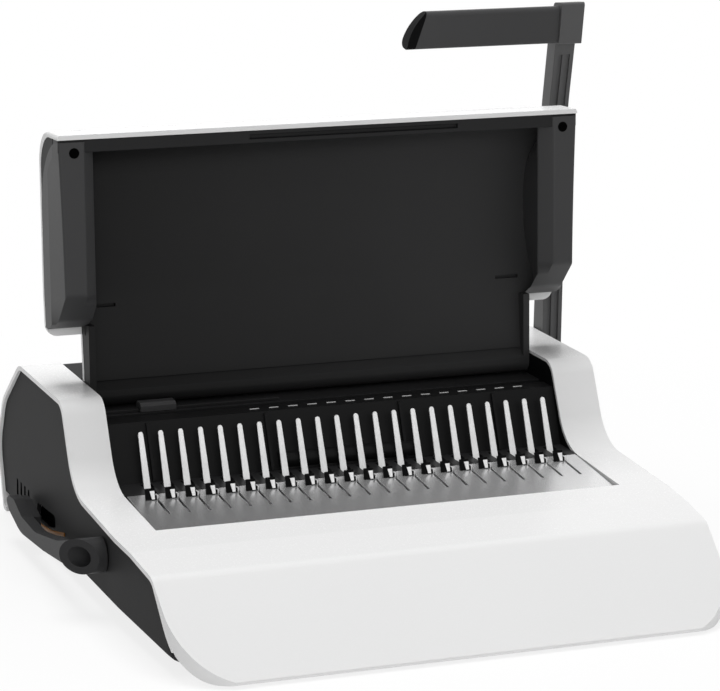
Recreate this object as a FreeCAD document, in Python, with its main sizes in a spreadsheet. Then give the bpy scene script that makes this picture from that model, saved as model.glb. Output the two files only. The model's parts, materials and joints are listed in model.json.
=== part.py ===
"""Comb binding machine: a desk-top punch and comb opener with a tip-up lid and a side handle.

Frame: X to the right, Y to the back, Z up, millimetres. The origin lies on the desk, midway between
the cheeks. Every driving size is a cell of the sheet "Sizes".
"""
import FreeCAD
import Part
import Sketcher
import math
import os

V = FreeCAD.Vector
doc = FreeCAD.newDocument("comb_binding_machine")

SIZES = {
    "body_width": 396.0, "body_shift": 1.0, "front_reach": 222.0, "rear_reach": 220.0, "underside": 2.0,
    "nose_run": 68.5, "nose_top": 56.0, "brow_run": 40.0, "brow_top": 61.0, "deck_top": 67.0,
    "cheek_foot": 13.0, "cheek_front": 41.5, "cheek_top": 122.5, "cheek_rear": 155.0,
    "cheek_gap": 334.0, "web_thick": 3.0, "wall_thick": 3.0, "corner_front": 50.0, "front_taper": 7.0,
    "corner_low": 22.0, "nose_solid": 36.0, "panel_low": 15.0,
    "rim_wide": 3.2, "panel_inset": 2.0, "panel_thick": 3.0, "seam_gap": 0.4, "base_thick": 3.0,
    "base_half": 172.0, "base_front": 52.0, "base_rear": 30.0, "foot_radius": 9.0,
    "window_y": 92.0, "window_z": 26.0, "vent_y": 138.0, "vent_top": 33.5, "vent_pitch": 10.3,
    "comb_pitch": 14.2875, "comb_shift": 5.0, "finger_root": 5.0, "finger_tip": 3.6,
    "finger_thick": 1.2, "finger_length": 39.0, "finger_lean": 24.0, "finger_foot_y": 12.5,
    "plate_thick": 1.5, "plate_depth": 69.0, "plate_rear": -7.5, "plate_tilt": 5.2,
    "slit_width": 1.8, "hook_shift": -2.3, "slit_length": 37.5, "ledge_top": 66.4,
    "throat_y": 56.5, "throat_wide": 5.0, "throat_floor_top": 78.0, "throat_top": 105.0,
    "die_thick": 10.0, "stripper_thick": 8.0, "punch_wide": 8.0, "punch_tall": 3.0,
    "punch_height": 84.0, "punch_travel": 11.5, "slide_gap": 0.4, "fit_gap": 0.08,
    "pivot_y": 140.0, "pivot_z": 64.0, "shaft_radius": 6.0, "handle_throw": 82.0,
    "cam_reach": 33.0, "cam_setback": 67.0, "cam_wide": 12.0,
    "arm_inner": 200.0, "arm_wide": 15.5, "arm_top": 341.0, "arm_lean": 14.0, "arm_deep": 14.0,
    "flute_deep": 1.6, "grip_tall": 28.0, "grip_lean": 4.0, "grip_deep": 13.0, "grip_front": 26.0,
    "grip_length": 112.0, "grip_slant": 8.0, "elbow_wide": 18.0, "elbow_tall": 31.0,
    "lid_hinge_y": 85.5, "lid_hinge_z": 114.0, "lid_width": 384.0, "lid_length": 186.5,
    "lid_back": 14.4, "lid_front": -34.0, "lid_crown": 55.0, "lid_neck": 333.0, "lid_notch": 42.0,
    "lid_skin": 3.2, "lid_liner": 8.0, "lid_lean": 3.0, "lid_corner": 4.0, "hinge_radius": 4.0,
    "lever_y": -52.5, "lever_z": 42.0, "lever_hub": 12.0, "lever_bore": 7.0, "lever_rod": 4.0,
    "lever_outer": 15.0, "lever_wide": 8.0, "lever_reach": 189.0, "hub_slant": 40.5,
    "crank_radius": 14.0, "crank_pin": 3.0, "crank_setback": 55.0,
    "drawer_front": 27.5, "drawer_rear": 153.5, "drawer_floor": 6.5, "drawer_top": 35.0,
    "guide_x": -122.0, "guide_wide": 26.0, "rail_length": 128.0,
}
COMB_COUNT = 22
HALF_COUNT = 11

sheet = doc.addObject("Spreadsheet::Sheet", "Sizes")
for line, (alias, number) in enumerate(SIZES.items(), 1):
    sheet.set("A%d" % line, alias)
    sheet.set("B%d" % line, str(number))
    sheet.setAlias("B%d" % line, alias)
doc.recompute()


class Dim:
    """A length that carries its number together with the sheet formula it comes from."""

    def __init__(self, value, text):
        self.value = float(value)
        self.text = text

    @staticmethod
    def of(other):
        """Wrap a plain number as a Dim, and leave a Dim as it is."""
        return other if isinstance(other, Dim) else Dim(other, "(%r)" % float(other))

    def _join(self, other, sign, value):
        return Dim(value, "(%s %s %s)" % (self.text, sign, Dim.of(other).text))

    def __add__(self, other):
        return self._join(other, "+", self.value + Dim.of(other).value)

    def __radd__(self, other):
        return Dim.of(other) + self

    def __sub__(self, other):
        return self._join(other, "-", self.value - Dim.of(other).value)

    def __rsub__(self, other):
        return Dim.of(other) - self

    def __mul__(self, other):
        return self._join(other, "*", self.value * Dim.of(other).value)

    def __rmul__(self, other):
        return Dim.of(other) * self

    def __truediv__(self, other):
        return self._join(other, "/", self.value / Dim.of(other).value)

    def __neg__(self):
        return Dim.of(-1.0) * self


class Sheet:
    """Gives each sheet cell as a Dim attribute."""

    def __getattr__(self, alias):
        return Dim(float(sheet.get(alias)), "Sizes." + alias)


S = Sheet()
KEPT = []


def num(dim):
    """Return the number of a Dim or a plain number."""
    return Dim.of(dim).value


def bind(obj, prop, dim):
    """Drive one property of an object by a formula on the sheet."""
    obj.setExpression(prop, Dim.of(dim).text)


def keep(obj, name):
    """Name an object as a sub-part that is written out."""
    obj.Label = name
    KEPT.append((name, obj))
    return obj


def origin_item(body, role):
    """Return one of the origin planes or axes of a body."""
    return [item for item in body.Origin.OriginFeatures if item.Role == role][0]


def polygon_sketch(body, name, plane, points, offset):
    """Add a closed sketch whose corners are bound to the sheet.

    Args:
        body: the body that owns the sketch.
        name: object name of the sketch.
        plane: role of the body's origin plane.
        points: corners as pairs of Dim or number in sketch axes.
        offset: distance of the sketch along the plane's normal.
    """
    sketch = body.newObject("Sketcher::SketchObject", name)
    sketch.AttachmentSupport = (origin_item(body, plane), [""])
    sketch.MapMode = "FlatFace"
    bind(sketch, "AttachmentOffset.Base.z", offset)
    corners = [V(num(a), num(b), 0) for a, b in points]
    count = len(corners)
    for i in range(count):
        sketch.addGeometry(Part.LineSegment(corners[i], corners[(i + 1) % count]), False)
    for i in range(count):
        sketch.addConstraint(Sketcher.Constraint("Coincident", i, 2, (i + 1) % count, 1))
    for i, pair in enumerate(points):
        for kind, dim in zip(("DistanceX", "DistanceY"), pair):
            row = sketch.addConstraint(Sketcher.Constraint(kind, -1, 1, i, 1, num(dim)))
            bind(sketch, "Constraints[%d]" % row, dim)
    return sketch


def prism(name, plane, points, start, length):
    """Pad a polygon from an origin plane into a body and return the body."""
    body = doc.addObject("PartDesign::Body", name)
    sketch = polygon_sketch(body, name + "_outline", plane, points, start)
    pad = body.newObject("PartDesign::Pad", name + "_pad")
    pad.Profile = sketch
    bind(pad, "Length", length)
    body.Tip = pad
    return body


def cut_through(body, name, plane, points, offset=0.0):
    """Pocket a polygon through the whole body, both ways from the sketch."""
    sketch = polygon_sketch(body, name + "_outline", plane, points, offset)
    pocket = body.newObject("PartDesign::Pocket", name)
    pocket.Profile = sketch
    pocket.Type = "ThroughAll"
    pocket.Midplane = True
    body.Tip = pocket
    return pocket


def cut_deep(body, name, plane, points, offset, depth):
    """Pocket a polygon by a depth against the sketch normal."""
    sketch = polygon_sketch(body, name + "_outline", plane, points, offset)
    pocket = body.newObject("PartDesign::Pocket", name)
    pocket.Profile = sketch
    bind(pocket, "Length", depth)
    body.Tip = pocket
    return pocket


def repeat(body, name, feature, axis, length, count):
    """Repeat a feature along an origin axis of its body."""
    pattern = body.newObject("PartDesign::LinearPattern", name)
    pattern.Originals = [feature]
    pattern.Direction = (origin_item(body, axis), [""])
    bind(pattern, "Length", length)
    pattern.Occurrences = count
    body.Tip = pattern
    return pattern


def rectangle(a, b, c, d):
    """Return the corners of a rectangle from a to b and c to d."""
    return [(a, c), (b, c), (b, d), (a, d)]


def rod(name, x, y, z, radius, length):
    """Add a cylinder along X that starts at x, y, z."""
    item = doc.addObject("Part::Cylinder", name)
    item.Placement = FreeCAD.Placement(V(), FreeCAD.Rotation(V(0, 1, 0), 90))
    for prop, dim in (("Radius", radius), ("Height", length), ("Placement.Base.x", x),
                      ("Placement.Base.y", y), ("Placement.Base.z", z)):
        bind(item, prop, dim)
    return item


def block(name, x, y, z, length, width, height):
    """Add a box from its low corner and its three sides."""
    item = doc.addObject("Part::Box", name)
    for prop, dim in (("Length", length), ("Width", width), ("Height", height), ("Placement.Base.x", x),
                      ("Placement.Base.y", y), ("Placement.Base.z", z)):
        bind(item, prop, dim)
    return item


def fuse(name, items):
    """Fuse several objects into one."""
    joined = doc.addObject("Part::MultiFuse", name)
    joined.Shapes = items
    joined.Refine = True
    return joined


def carve(name, base, tools):
    """Cut several objects out of one."""
    result = doc.addObject("Part::Cut", name)
    result.Base = base
    result.Tool = tools[0] if len(tools) == 1 else fuse(name + "_tools", tools)
    result.Refine = True
    return result


def shape_part(name, shape, base=V(), rotation=FreeCAD.Rotation()):
    """Add a free-form sub-part whose shape is worked out from the sheet's numbers."""
    item = doc.addObject("Part::Feature", name)
    item.Shape = shape
    item.Placement = FreeCAD.Placement(base, rotation)
    return keep(item, name)


def rounded_wire(corners):
    """Return a closed wire in the YZ plane from corners (y, z, radius)."""
    count = len(corners)
    arcs = []
    for i in range(count):
        before, here, after = corners[i - 1], corners[i], corners[(i + 1) % count]
        p = V(0, here[0], here[1])
        a = (V(0, before[0], before[1]) - p)
        b = (V(0, after[0], after[1]) - p)
        room = 0.49 * min(a.Length, b.Length)
        a.normalize()
        b.normalize()
        half = a.getAngle(b) / 2.0
        radius = here[2]
        if radius <= 0.0 or half > 0.49 * math.pi:
            arcs.append((p, None, p))
            continue
        reach = min(radius / math.tan(half), room)
        radius = reach * math.tan(half)
        middle = a + b
        middle.normalize()
        centre = p + middle * (radius / math.sin(half))
        arcs.append((p + a * reach, centre - middle * radius, p + b * reach))
    edges = []
    for i in range(count):
        first, through, last = arcs[i]
        if through is not None:
            edges.append(Part.Arc(first, through, last).toShape())
        following = arcs[(i + 1) % count][0]
        if (following - last).Length > 1e-6:
            edges.append(Part.LineSegment(last, following).toShape())
    return Part.Wire(edges)


def slab(face, x_from, x_to):
    """Extrude a face of the YZ plane between two values of X."""
    moved = face.copy()
    moved.translate(V(x_from, 0, 0))
    return moved.extrude(V(x_to - x_from, 0, 0))


def solid_box(x0, x1, y0, y1, z0, z1):
    """Return a box shape between two corners."""
    return Part.makeBox(x1 - x0, y1 - y0, z1 - z0, V(x0, y0, z0))


def solid_rod(x0, x1, y, z, radius):
    """Return a cylinder shape along X."""
    return Part.makeCylinder(radius, x1 - x0, V(x0, y, z), V(1, 0, 0))


left_out = num(S.body_shift) - num(S.body_width) / 2.0
right_out = num(S.body_shift) + num(S.body_width) / 2.0
inner = num(S.cheek_gap) / 2.0
web_out = inner + num(S.web_thick)
front = -num(S.front_reach)
rear = num(S.rear_reach)
floor = num(S.underside)
deck_edge = num(S.plate_rear) - num(S.plate_depth) - 1.0
top = num(S.cheek_top)
base_top = floor + num(S.base_thick)
web_x = S.cheek_gap / 2

# The white bridge: one moulded band from the nose over the deck and up the cheeks
nose_y = front + num(S.nose_run)
outer_face = Part.Face(rounded_wire([
    (front, floor, 1.5),
    (nose_y, num(S.nose_top), 16.0),
    (nose_y + num(S.brow_run), num(S.brow_top), 25.0),
    (num(S.cheek_foot), num(S.deck_top), 38.0),
    (num(S.cheek_front), top, 16.0),
    (num(S.cheek_rear), top, 24.0),
    (rear - 17.0, 0.7 * top, 40.0),
    (rear, 0.4 * top, 34.0),
    (rear - 15.0, floor, 5.0),
]))


def plan_solid(inset):
    """Return the upright block inside the machine's plan outline, set in from its sides and front.

    The sides run straight, draw in a little from the deck to the front and end in round corners.
    """
    taper = num(S.front_taper)
    radius = num(S.corner_front) - inset
    bend = num(S.cheek_foot) - 98.0
    left, right, low = left_out + inset, right_out - inset, front + inset
    face = Part.Face(rounded_wire([
        (right, rear + 4.0, 0.0), (right, bend, 0.0), (right - taper, low, radius),
        (left + taper, low, radius), (left, bend, 0.0), (left, rear + 4.0, 0.0)]))
    face.rotate(V(), V(1, 1, 1), -120)
    face.translate(V(0, 0, -10.0))
    return face.extrude(V(0, 0, top + 40.0))


def low_rounding():
    """Return the block that the bridge lies in, with round lower corners at the nose."""
    radius = num(S.corner_low)
    face = Part.Face(rounded_wire([
        (right_out - num(S.front_taper), floor, radius), (right_out, 2.0 * top, 0.0),
        (left_out, 2.0 * top, 0.0), (left_out + num(S.front_taper), floor, radius)]))
    face.rotate(V(), V(0, 0, 1), -90)
    face.translate(V(0, front - 9.0, 0))
    nose = face.extrude(V(0, num(S.nose_solid) + 9.0, 0))
    return nose.fuse(solid_box(left_out, right_out, front + num(S.nose_solid), rear + 9.0, -12.0, 2.0 * top))


def side_space(x_from, x_to, play):
    """Return the space inside the rim of a cheek, open at the bottom."""
    face = outer_face.makeOffset2D(-num(S.rim_wide) - play)
    ahead = front + num(S.nose_solid) + play
    mouth = solid_box(x_from, x_to, ahead, rear - 24.0 - play, -12.0, floor + 8.0)
    brow = nose_y + 3.0 + play
    whole = Part.Face(rounded_wire([
        (ahead, -12.0, 0.0), (rear, -12.0, 0.0), (rear, top, 0.0), (brow, top, 0.0),
        (brow, num(S.nose_top), 30.0), (ahead, num(S.panel_low) + 1.5, 0.0)]))
    return slab(face, x_from, x_to).fuse(mouth).common(slab(whole, x_from, x_to))


bridge = slab(outer_face, left_out, right_out).common(plan_solid(0.0)).common(low_rounding())
hollow = slab(outer_face.makeOffset2D(-num(S.wall_thick)), -inner, inner)
hollow = hollow.common(plan_solid(num(S.wall_thick)))
bridge = bridge.cut(hollow)
bridge = bridge.cut(solid_box(-inner, inner, front + num(S.nose_solid), rear + 9.0, -12.0, base_top))
bridge = bridge.cut(solid_box(-inner, inner, deck_edge, rear + 9.0, -12.0, top + 9.0))
bridge = bridge.cut(side_space(web_out, right_out + 9.0, 0.0))
bridge = bridge.cut(side_space(left_out - 9.0, -web_out, 0.0))
base_half, base_front, base_rear = num(S.base_half), front + num(S.base_front), rear - num(S.base_rear)
bridge = bridge.cut(solid_box(-base_half, base_half, base_front, base_rear, -12.0, base_top))
shaft_hole = num(S.shaft_radius) + num(S.fit_gap)
bores = [(num(S.pivot_y), num(S.pivot_z), shaft_hole),
         (num(S.lid_hinge_y), num(S.lid_hinge_z), num(S.hinge_radius) + num(S.fit_gap)),
         (num(S.lever_y), num(S.lever_z), num(S.lever_rod) + num(S.fit_gap))]
for y, z, radius in bores:
    for side in (-1, 1):
        ends = sorted((side * (inner - 1.0), side * web_out))
        bridge = bridge.cut(solid_rod(ends[0], ends[1], y, z, radius))
gap = num(S.slide_gap)
drawer_hole = (num(S.drawer_front) - gap, num(S.drawer_rear) + gap, base_top, num(S.drawer_top) + gap)
bridge = bridge.cut(solid_box(inner - 1.0, web_out, *drawer_hole))
bridge = bridge.cut(solid_box(-web_out, -inner + 1.0, *drawer_hole))
shape_part("main_shell", bridge.removeSplitter())

# The dark side panels lie just inside the rims of the bridge, on bosses that meet the webs
panel_sheet = plan_solid(num(S.panel_inset)).cut(plan_solid(num(S.panel_inset) + num(S.panel_thick)))
boss_reach = plan_solid(num(S.panel_inset) + 1.0)
panel_low = num(S.panel_low)
below = solid_box(2 * left_out, 2 * right_out, front - 9.0, rear + 9.0, -30.0, panel_low)
skirt_limit = plan_solid(num(S.panel_inset)).common(
    solid_box(2 * left_out, 2 * right_out, front + num(S.nose_solid) + num(S.seam_gap), rear - 26.0, 0.0, top))


def side_panel(side):
    """Return one side panel with its bosses, on the left for -1 and on the right for 1."""
    ends = sorted((side * web_out, side * (right_out + 9.0)))
    shape = side_space(ends[0], ends[1], num(S.seam_gap)).common(panel_sheet).cut(below)
    edge = (right_out if side > 0 else left_out) - side * num(S.panel_inset)
    foot_x, sheet = side * (web_out + 3.0), side * num(S.panel_thick)
    skirt = Part.Face(Part.makePolygon([
        V(edge, front, panel_low), V(edge, front, panel_low + 1.0), V(edge - sheet, front, panel_low + 1.0),
        V(foot_x, front, floor + 4.0), V(foot_x, front, floor + 1.0), V(edge, front, panel_low)]))
    shape = shape.fuse(skirt.extrude(V(0, rear - front, 0)).common(skirt_limit))
    seats = ((0.7 * front, 0.24 * top), (0.0, 0.3 * top), (0.86 * rear, 0.36 * top), (0.4 * rear, 0.7 * top))
    for y, z in seats:
        boss = solid_box(ends[0], ends[1], y - 4.0, y + 4.0, z - 4.0, z + 4.0)
        shape = shape.fuse(boss.common(boss_reach))
    return shape


left_panel = side_panel(-1)
lever_hole = num(S.lever_rod) + 1.0
left_panel = left_panel.cut(solid_rod(left_out, -web_out, num(S.lever_y), num(S.lever_z), lever_hole))
window_y, window_z = num(S.window_y), num(S.window_z)
window = Part.Face(rounded_wire([
    (window_y + 23.0, window_z + 5.0, 5.0), (window_y - 24.0, window_z + 8.0, 4.0),
    (window_y - 24.0, window_z - 1.0, 4.0), (window_y, window_z - 6.5, 9.0),
    (window_y + 29.0, window_z - 7.0, 5.0)]))
cut_from = left_out + num(S.panel_inset) + num(S.panel_thick) + 1.0
left_panel = left_panel.cut(slab(window, left_out, cut_from))
for row in range(4):
    slit_y = num(S.vent_y) + row * num(S.vent_pitch)
    vent_low = num(S.vent_top) - 4.5 - 2.5 * row
    slit = solid_box(left_out, cut_from, slit_y, slit_y + 3.0, vent_low, num(S.vent_top))
    left_panel = left_panel.cut(slit)
shape_part("side_panel_left", left_panel.removeSplitter())
right_panel = side_panel(1)
pivot_hole = num(S.shaft_radius) + 1.0
right_panel = right_panel.cut(solid_rod(web_out, right_out, num(S.pivot_y), num(S.pivot_z), pivot_hole))
right_panel = right_panel.cut(solid_box(web_out, right_out, *drawer_hole))
shape_part("side_panel_right", right_panel.removeSplitter())

# Base plate and feet
foot_inset = 20.0
base = prism("base_plate", "XY_Plane", rectangle(
    -S.base_half, S.base_half, S.base_front - S.front_reach, S.rear_reach - S.base_rear),
    S.underside, S.base_thick)
keep(base, "base_plate")
pads = []
for side in (-1.0, 1.0):
    for name, y in (("front", S.base_front - S.front_reach + 14.0),
                    ("rear", S.rear_reach - S.base_rear - foot_inset)):
        pad = doc.addObject("Part::Cylinder", "foot_%s_%d" % (name, side + 2))
        for prop, dim in (("Radius", S.foot_radius), ("Height", S.underside),
                          ("Placement.Base.x", side * (S.base_half - foot_inset)), ("Placement.Base.y", y)):
            bind(pad, prop, dim)
        pads.append(pad)
feet = doc.addObject("Part::Compound", "rubber_feet")
feet.Links = pads
keep(feet, "rubber_feet")

# Rear cover between the webs, a bent sheet that follows the cheeks' back
cover_face = outer_face.makeOffset2D(-1.0)
cover = slab(cover_face.cut(outer_face.makeOffset2D(-1.0 - num(S.wall_thick))), -inner, inner)
lid_clear = num(S.lid_hinge_y) + num(S.lid_back) + 5.0
cover = cover.common(solid_box(-inner, inner, lid_clear, rear + 9.0, base_top, top + 9.0))
shape_part("rear_cover", cover.removeSplitter())

# Steel deck plate with a slit for each hook
plate_half = web_x - 1.5
plate = prism("deck_plate", "XY_Plane", rectangle(-plate_half, plate_half, -S.plate_depth, 0.0),
              -S.plate_thick, S.plate_thick)
first_x = S.comb_shift - S.comb_pitch * ((COMB_COUNT - 1) / 2.0)
comb_span = S.comb_pitch * float(COMB_COUNT - 1)
slit_x = first_x + S.hook_shift
slit = cut_through(plate, "deck_slit", "XY_Plane",
                   rectangle(slit_x - S.slit_width / 2, slit_x + S.slit_width / 2, -S.slit_length, 2.0))
repeat(plate, "deck_slits", slit, "X_Axis", comb_span, COMB_COUNT)
plate.Placement = FreeCAD.Placement(V(), FreeCAD.Rotation(V(1, 0, 0), num(S.plate_tilt)))
bind(plate, "Placement.Base.y", S.plate_rear)
bind(plate, "Placement.Base.z", S.deck_top - 0.6)
keep(plate, "deck_plate")

# Ribs under the plate
tilt = math.tan(math.radians(num(S.plate_tilt)))
rise = Dim(tilt, "tan(Sizes.plate_tilt * 1 deg)")
drop = Dim(1.0 / math.cos(math.atan(tilt)), "(1 / cos(Sizes.plate_tilt * 1 deg))")
rib_high = S.deck_top - 0.6 - S.plate_thick * drop
rib_front = S.plate_rear - S.plate_depth + 2.0
rib_points = [(rib_front, S.underside + S.base_thick),
              (S.finger_foot_y + 5.0, S.underside + S.base_thick),
              (S.finger_foot_y + 5.0, S.ledge_top - 3.0), (S.plate_rear - 0.5, S.ledge_top - 3.0),
              (S.plate_rear - 0.5, rib_high - 0.5 * rise),
              (rib_front, rib_high - (S.plate_depth - 2.0) * rise)]
ribs = []
for name, x in (("left", -web_x + 2.0), ("right", web_x - 7.0)):
    ribs.append(prism("deck_rib_" + name, "YZ_Plane", rib_points, x, 5.0))
rail_front = block("deck_rib_cross", -web_x + 7.0, rib_front, S.underside + S.base_thick,
                   (web_x - 7.0) * 2.0, 4.0, 20.0)
rib_holes = [rod("rib_hole", -web_x, S.lever_y, S.lever_z, S.lever_rod + 1.0, web_x * 2.0)]
support = carve("deck_support", fuse("deck_support_body", ribs + [rail_front]), rib_holes)
keep(support, "deck_support")

# Fixed comb fingers in their bar
rake = block("rake_bar", -web_x + 7.0, S.finger_foot_y - 8.0, S.ledge_top - 22.0,
             (web_x - 7.0) * 2.0, 12.0, 9.0)
foot = V(0, num(S.finger_foot_y), num(S.ledge_top) - 1.4)
tail = 16.0


def finger_shape(index):
    """Return one leaning strip with a round top, seated in the rake bar."""
    root, tip = num(S.finger_root) / 2.0, num(S.finger_tip) / 2.0
    high = num(S.finger_length) - tip
    edge = [V(-root, 0, -tail), V(root, 0, -tail), V(root, 0, 0)]
    turns = [math.radians(36.0 * step) for step in range(6)]
    edge += [V(tip * math.cos(turn), 0, high + tip * math.sin(turn)) for turn in turns]
    edge.append(V(-root, 0, 0))
    strip = Part.Face(Part.makePolygon(edge + edge[:1])).extrude(V(0, num(S.finger_thick), 0))
    strip.rotate(V(), V(1, 0, 0), -num(S.finger_lean))
    strip.translate(foot + V(num(first_x) + index * num(S.comb_pitch), 0, 0))
    return strip


strips = [finger_shape(index) for index in range(COMB_COUNT)]
shape_part("comb_fingers_left", Part.makeCompound(strips[:HALF_COUNT]))
shape_part("comb_fingers_right", Part.makeCompound(strips[HALF_COUNT:]))
doc.recompute()
rake_shape = rake.Shape.copy()
for strip in strips:
    rake_shape = rake_shape.cut(strip)
shape_part("rake_bar", rake_shape)

# Black slope behind the fingers, with its slotted ledge, and the deck round the throat
slope_top = S.throat_y - S.throat_wide / 2 - 1.0
ledge_rear = S.finger_foot_y + 8.5
ledge = prism("hook_ledge", "YZ_Plane", [
    (S.plate_rear + 0.6, S.ledge_top - 3.0), (ledge_rear, S.ledge_top - 3.0), (ledge_rear, S.ledge_top),
    (S.plate_rear + 0.6, S.ledge_top)], -web_x, web_x * 2.0)
notch = cut_through(ledge, "hook_notch", "XY_Plane",
                    rectangle(first_x - 4.0, first_x + 4.0, S.plate_rear - 1.0, S.finger_foot_y + 4.0))
repeat(ledge, "hook_notches", notch, "X_Axis", comb_span, COMB_COUNT)
keep(ledge, "hook_ledge")
slope_points = [(ledge_rear, S.ledge_top - 3.0), (ledge_rear + 3.0, S.ledge_top - 3.0),
                (S.finger_foot_y + 28.0, S.throat_top - 3.0), (slope_top, S.throat_top - 3.0),
                (slope_top, S.throat_top), (S.finger_foot_y + 25.0, S.throat_top), (ledge_rear, S.ledge_top)]
slope = prism("slope_housing", "YZ_Plane", slope_points, -web_x, web_x * 2.0)
slope_ribs = []
for row in (0.0, 6.0, 13.0, 18.0):
    slope_ribs.append(prism("slope_rib_%d" % row, "YZ_Plane", [
        (ledge_rear + 1.5, S.ledge_top), (S.finger_foot_y + 26.0, S.throat_top - 1.0),
        (S.finger_foot_y + 22.5, S.throat_top - 1.0), (S.finger_foot_y + 7.5, S.ledge_top + 4.0),
        (S.finger_foot_y + 7.0, S.ledge_top)],
        first_x + S.comb_pitch * (row + 0.5) - 1.0, 2.0))
slope_roll = rod("slope_roll", S.comb_shift - 52.0, S.finger_foot_y + 13.0, S.ledge_top + 6.0, 6.0, 104.0)
slope_all = fuse("slope_with_ribs", [slope, slope_roll] + slope_ribs)
keep(slope_all, "slope_housing")
throat_rear = S.throat_y + S.throat_wide / 2 + 1.0
deck = prism("throat_deck", "YZ_Plane", [
    (throat_rear, S.throat_top - 3.0), (S.lid_hinge_y + S.lid_back + 4.0, S.throat_top - 3.0),
    (S.lid_hinge_y + S.lid_back + 4.0, S.throat_top), (throat_rear, S.throat_top)], -web_x, web_x * 2.0)
keep(deck, "throat_deck")

# Die plate, stripper plate and floor make the throat that the sheets stand in
die_front = S.throat_y - S.throat_wide / 2 - S.die_thick
plate_low = S.punch_height - 14.0
die = prism("die_plate", "XZ_Plane", rectangle(-web_x, web_x, plate_low, S.throat_top - 3.0),
            -(die_front + S.die_thick), S.die_thick)
stripper_front = S.throat_y + S.throat_wide / 2
stripper = prism("stripper_plate", "XZ_Plane", rectangle(-web_x, web_x, plate_low, S.throat_top - 3.0),
                 -(stripper_front + S.stripper_thick), S.stripper_thick)
for body in (die, stripper):
    hole = cut_through(body, body.Name + "_hole", "XZ_Plane", rectangle(
        first_x - S.punch_wide / 2 - S.slide_gap, first_x + S.punch_wide / 2 + S.slide_gap,
        S.punch_height - S.punch_tall / 2 - S.slide_gap, S.punch_height + S.punch_tall / 2 + S.slide_gap))
    repeat(body, body.Name + "_holes", hole, "X_Axis", comb_span, COMB_COUNT)
keep(die, "die_plate")
keep(stripper, "stripper_plate")
keep(block("throat_floor", -web_x, S.throat_y - S.throat_wide / 2, plate_low, web_x * 2.0, S.throat_wide,
           S.throat_floor_top - plate_low), "throat_floor")

# Punch bar, its punches and the cams that push it
bar_front = stripper_front + S.stripper_thick + S.punch_travel + 1.0
bar_rear = bar_front + 12.0
follow_y = S.pivot_y - S.cam_reach
bar_left = first_x - 8.0
punch_bar = prism("punch_bar", "XZ_Plane", rectangle(
    bar_left, bar_left + comb_span + 16.0, S.pivot_z, S.punch_height + 8.0), -bar_rear, bar_rear - bar_front)
cam_x = web_x - S.cam_setback
cam_wide = num(S.cam_wide)
pushers = []
for name, x in (("left", -cam_x - S.cam_wide), ("right", cam_x)):
    pushers.append(block("pusher_" + name, x - 2.0, bar_rear, S.pivot_z - 6.0, S.cam_wide + 4.0,
                         follow_y - bar_rear, 26.0))
keep(fuse("punch_bar_all", [punch_bar] + pushers), "punch_bar")
pin_tip = num(stripper_front) + 1.0
pins = []
for index in range(COMB_COUNT):
    x = num(first_x) + index * num(S.comb_pitch)
    half_wide, half_tall = num(S.punch_wide) / 2, num(S.punch_tall) / 2
    pins.append(solid_box(x - half_wide, x + half_wide, pin_tip, num(bar_front),
                          num(S.punch_height) - half_tall, num(S.punch_height) + half_tall))
shape_part("punch_pins", Part.makeCompound(pins))
throw = math.radians(num(S.handle_throw))
rate = num(S.punch_travel) / throw
lift = num(S.pivot_y) - num(follow_y) - num(S.slide_gap)


def cam_shape(x):
    """Return one cam whose flat follower moves in step with the angle.

    The flank is the involute of a circle, so a flat face in front of it is pushed by the same
    distance for each degree of the handle.
    """
    flank = []
    for step in range(15):
        angle = math.radians(-4.0) + (throw + math.radians(8.0)) * step / 14.0
        reach = lift + rate * angle
        away = V(0, -math.cos(angle), math.sin(angle))
        along = V(0, math.sin(angle), math.cos(angle))
        flank.append(away * reach + along * rate)
    lobe = Part.Face(Part.makePolygon([V()] + flank + [V()])).extrude(V(cam_wide, 0, 0))
    boss = num(S.shaft_radius) + 7.0
    turns = [math.radians(30.0 * step) for step in range(13)]
    ring = Part.makePolygon([V(0, boss * math.cos(turn), boss * math.sin(turn)) for turn in turns])
    lobe = lobe.fuse(Part.Face(ring).extrude(V(cam_wide, 0, 0)))
    lobe = lobe.cut(solid_rod(-1.0, cam_wide + 1.0, 0, 0, num(S.shaft_radius)))
    lobe.translate(V(x, num(S.pivot_y), num(S.pivot_z)))
    return lobe.removeSplitter()


shape_part("drive_cams", Part.makeCompound([cam_shape(-num(cam_x) - cam_wide), cam_shape(num(cam_x))]))
keep(rod("handle_shaft", -web_x - S.web_thick, S.pivot_y, S.pivot_z, S.shaft_radius,
         web_x + S.web_thick + S.arm_inner + S.arm_wide - 2.0), "handle_shaft")

# Handle: hub and fluted arm outside the right cheek, elbow, grip and cap
arm_in, arm_out = num(S.arm_inner), num(S.arm_inner) + num(S.arm_wide)
pivot = V(0, num(S.pivot_y), num(S.pivot_z))
arm_top = num(S.arm_top)
arm_rear = pivot.y - num(S.arm_lean) + num(S.arm_deep) / 2
arm_front = arm_rear - num(S.arm_deep)
knee = arm_top - 52.0
arm_face = Part.Face(rounded_wire([
    (pivot.y + 9.0, pivot.z, 0.0), (pivot.y + 2.0, knee, 150.0), (arm_rear, arm_top, 0.0),
    (arm_front, arm_top, 0.0), (pivot.y - 11.0, knee, 150.0), (pivot.y - 9.0, pivot.z, 0.0)]))
arm = slab(arm_face, arm_in, arm_out).fuse(solid_rod(arm_in, arm_out, pivot.y, pivot.z, 20.0))
set_back = arm_face.copy()
set_back.translate(V(0, num(S.flute_deep), 0))
for flute_x in (arm_in + 3.0, arm_out - 6.5):
    flute = slab(arm_face, flute_x, flute_x + 3.5).cut(slab(set_back, flute_x, flute_x + 3.5))
    arm = arm.cut(flute.common(solid_box(arm_in, arm_out, front, rear, pivot.z + 40.0, arm_top - 9.0)))
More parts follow.
